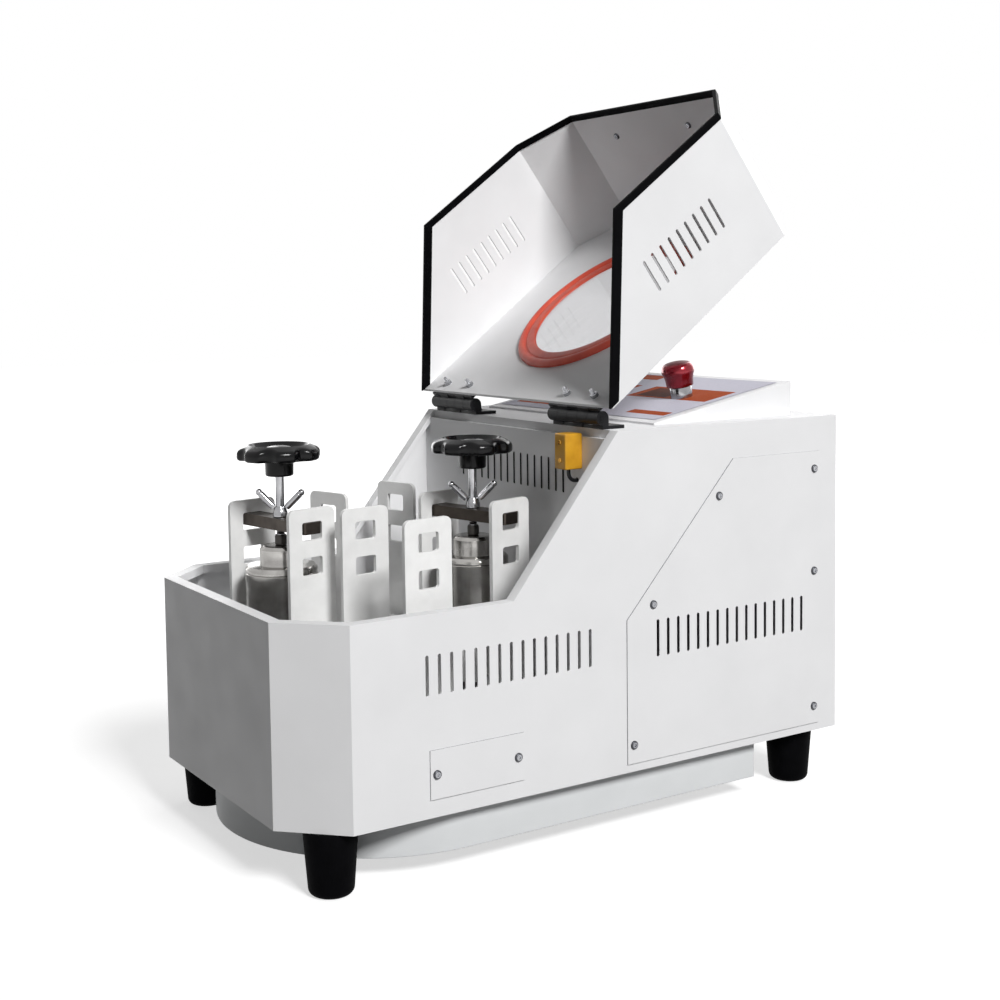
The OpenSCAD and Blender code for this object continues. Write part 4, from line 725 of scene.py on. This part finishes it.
def makeSensor(s):
    low, high = (Vector(c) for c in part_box("safety_sensor"))
    low.y = high.y - s["depth"] * mm
    middle = (low + high) / 2
    bm = bmesh.new()
    bmesh.ops.create_cube(bm, size=1)
    bmesh.ops.scale(bm, verts=bm.verts, vec=high - low)
    bmesh.ops.translate(bm, verts=bm.verts, vec=middle)
    bmesh.ops.bevel(bm, geom=bm.edges[:], offset=s["edge"] * mm, segments=3, profile=0.5, affect="EDGES",
                    material=-1)
    face = min(bm.faces, key=lambda f: f.normal.y * 10 - f.calc_area())  # the large front one
    bmesh.ops.inset_region(bm, faces=[face], thickness=(s["rim"] - s["edge"]) * mm)
    sunk = bmesh.ops.extrude_face_region(bm, geom=[face])
    deep = [g for g in sunk["geom"] if isinstance(g, bmesh.types.BMVert)]
    bmesh.ops.translate(bm, verts=deep, vec=(0, s["sunk"] * mm, 0))
    for g in sunk["geom"]:
        if isinstance(g, bmesh.types.BMFace):
            g.material_index = 1
    r, h = s["lugRadius"], s["sunk"] + s["lugOut"]
    for share in s["lugs"]:
        lug = spun([(0, 0), (r, 0), (r, h - 0.7), (r - 0.7, h), (1.2, h), (1.0, h - 0.8), (0, h - 0.8)], 28)
        spot = Vector((middle.x, low.y + s["sunk"] * mm, low.z + share * (high.z - low.z)))
        putInto(bm, lug, Matrix.Translation(spot) @ Matrix.Rotation(math.radians(90), 4, "X"), tone=2)
    finishPiece(bm, "doorSensor", "housing", ["sensorYellow", "sensorFace", "brass"],
                "safety_sensor", crease=35)

    # the lead drops out of the lower end, turns back in a quarter bend and runs into the wall
    leaves = Vector((middle.x, high.y - s["leadBehind"] * mm, low.z))
    start = leaves + Vector((0, 0, -s["leadDrop"] * mm))
    bend = start + Vector((0, s["leadBend"] * mm, 0))
    lead = [leaves.lerp(start, k) for k in (0, 0.35, 0.7)]
    lead += [bend + Vector((0, -math.cos(a), -math.sin(a))) * s["leadBend"] * mm
             for a in (math.radians(90) * k / 12 for k in range(13))]
    end = Vector((lead[-1].x, high.y + s["leadIn"] * mm, lead[-1].z))
    lead += [lead[-1].lerp(end, k / 4) for k in range(1, 5)]
    curve = bpy.data.curves.new("sensorLead", "CURVE")
    curve.dimensions, curve.bevel_depth, curve.bevel_resolution = "3D", s["leadRadius"] * mm, 6
    curve.use_fill_caps = True
    line = curve.splines.new("POLY")
    line.points.add(len(lead) - 1)
    for point, place in zip(line.points, lead):
        point.co = (*place, 1)
    line.use_smooth = True
    curve.materials.append(finishes["sheath"])
    piece = bpy.data.objects.new("sensorLead", curve)
    bpy.context.scene.collection.objects.link(piece)
    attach(piece, "housing")
    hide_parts("sensor_lead")


makeSensor(sensor)

# Feet: tapered rubber cones with a rolled lower edge, a sunk screw hole and a boss under the floor plate
feet = {"low": 24.8, "edge": 8, "high": 30, "stand": 72, "boss": 12.4, "bossTop": 74,
        "hole": [(0, 0), (6, 0), (6.6, 1.4), (9, 1.4), (9.6, 0)],
        "pairs": [(172, -319), (170, 336)]}  # each stands on both sides


def makeFeet(s):
    profile = s["hole"] + arc(s["low"] - s["edge"], s["edge"], s["edge"], -90, 0, 8)
    profile += [(s["high"] - 0.4, s["stand"] - 2), (s["high"] - 1.2, s["stand"]), (s["boss"], s["stand"]),
                (s["boss"], s["bossTop"]), (0, s["bossTop"])]
    bm = bmesh.new()
    for x, y in s["pairs"]:
        for side in (-1, 1):
            putInto(bm, spun(profile), at(side * x * mm, y * mm))
    finishPiece(bm, "taperedFeet", "housing", ["footRubber"], "feet", crease=30)


makeFeet(feet)
print("stage: sensor and feet")


# Floor, world and lamps
studio = {
    "floorSize": 24.0,
    "floorNear": 0.62,     # glow under the mill, where its shadow falls
    "floorFar": 1.0,
    "fadeFrom": 0.7,       # metres from the middle at which the near glow starts to turn to the far one
    "fadeTo": 2.2,
    "paper": "#c4c4c4",
    "bounce": "#868686",   # what the paper throws back on the mill
    "worldLevel": 0.05,
    "aim": (0, -0.02, 0.35),
    # place, side in metres, watts
    "lamps": {
        "key": ((6.9, -0.4, 5.7), 2.1, 780),
        "top": ((-0.4, 1.2, 3.4), 2.4, 5),
        "rear": ((-1.2, 3.4, 1.6), 2.6, 50),
        "fill": ((-3.6, 0.1, 1.1), 2.2, 36),
    },
}


def seenRays(tree):
    # 1 for what the eye sees, straight, in a gloss or through the window, and 0 for light on its way
    path = addNode(tree, "ShaderNodeLightPath").outputs
    eye = addNode(tree, "ShaderNodeMath", {0: path["Is Camera Ray"], 1: path["Is Glossy Ray"]},
                  operation="MAXIMUM")
    return addNode(tree, "ShaderNodeMath", {0: eye.outputs[0], 1: path["Is Transmission Ray"]},
                   operation="MAXIMUM").outputs[0]


def paperFloor(s):
    material = bpy.data.materials.new("paperFloor")
    material.use_nodes = True
    tree = material.node_tree
    tree.nodes.clear()
    place = addNode(tree, "ShaderNodeTexCoord").outputs["Object"]
    away = addNode(tree, "ShaderNodeVectorMath", {0: place}, operation="LENGTH").outputs["Value"]
    level = addNode(tree, "ShaderNodeMapRange", {"Value": away, "From Min": s["fadeFrom"],
                                                 "From Max": s["fadeTo"], "To Min": s["floorNear"],
                                                 "To Max": s["floorFar"]}).outputs["Result"]
    glow = addNode(tree, "ShaderNodeEmission", {"Color": fromHex("#ffffff"), "Strength": level})
    paper = addNode(tree, "ShaderNodeBsdfDiffuse", {"Color": fromHex(s["paper"])})
    dim = addNode(tree, "ShaderNodeBsdfDiffuse", {"Color": fromHex(s["bounce"])})
    lit = addNode(tree, "ShaderNodeAddShader", {0: paper.outputs[0], 1: glow.outputs[0]})
    mixed = addNode(tree, "ShaderNodeMixShader", {0: seenRays(tree), 1: dim.outputs[0], 2: lit.outputs[0]})
    addNode(tree, "ShaderNodeOutputMaterial", {"Surface": mixed.outputs[0]})
    return material


def whiteStudio(s):
    scene = bpy.context.scene
    world = bpy.data.worlds.new("studioWorld")
    scene.world = world
    world.use_nodes = True
    tree = world.node_tree
    ground = tree.nodes["Background"]
    ground.inputs["Color"].default_value = fromHex("#ffffff")
    level = addNode(tree, "ShaderNodeMapRange", {"Value": seenRays(tree), "To Min": s["worldLevel"],
                                                 "To Max": 1.0}).outputs["Result"]
    tree.links.new(level, ground.inputs["Strength"])

    bm = bmesh.new()
    bmesh.ops.create_grid(bm, x_segments=1, y_segments=1, size=s["floorSize"] / 2)
    mesh = bpy.data.meshes.new("studioFloor")
    bm.to_mesh(mesh)
    bm.free()
    mesh.materials.append(paperFloor(s))
    floor = bpy.data.objects.new("studioFloor", mesh)
    scene.collection.objects.link(floor)

    for name, (place, side, watts) in s["lamps"].items():
        data = bpy.data.lights.new(name + "Lamp", "AREA")
        data.shape, data.size, data.energy = "SQUARE", side, watts
        lamp = bpy.data.objects.new(name + "Lamp", data)
        lamp.location = place
        lamp.rotation_euler = (Vector(s["aim"]) - Vector(place)).to_track_quat("-Z", "Y").to_euler()
        scene.collection.objects.link(lamp)


whiteStudio(studio)
print("stage: studio")
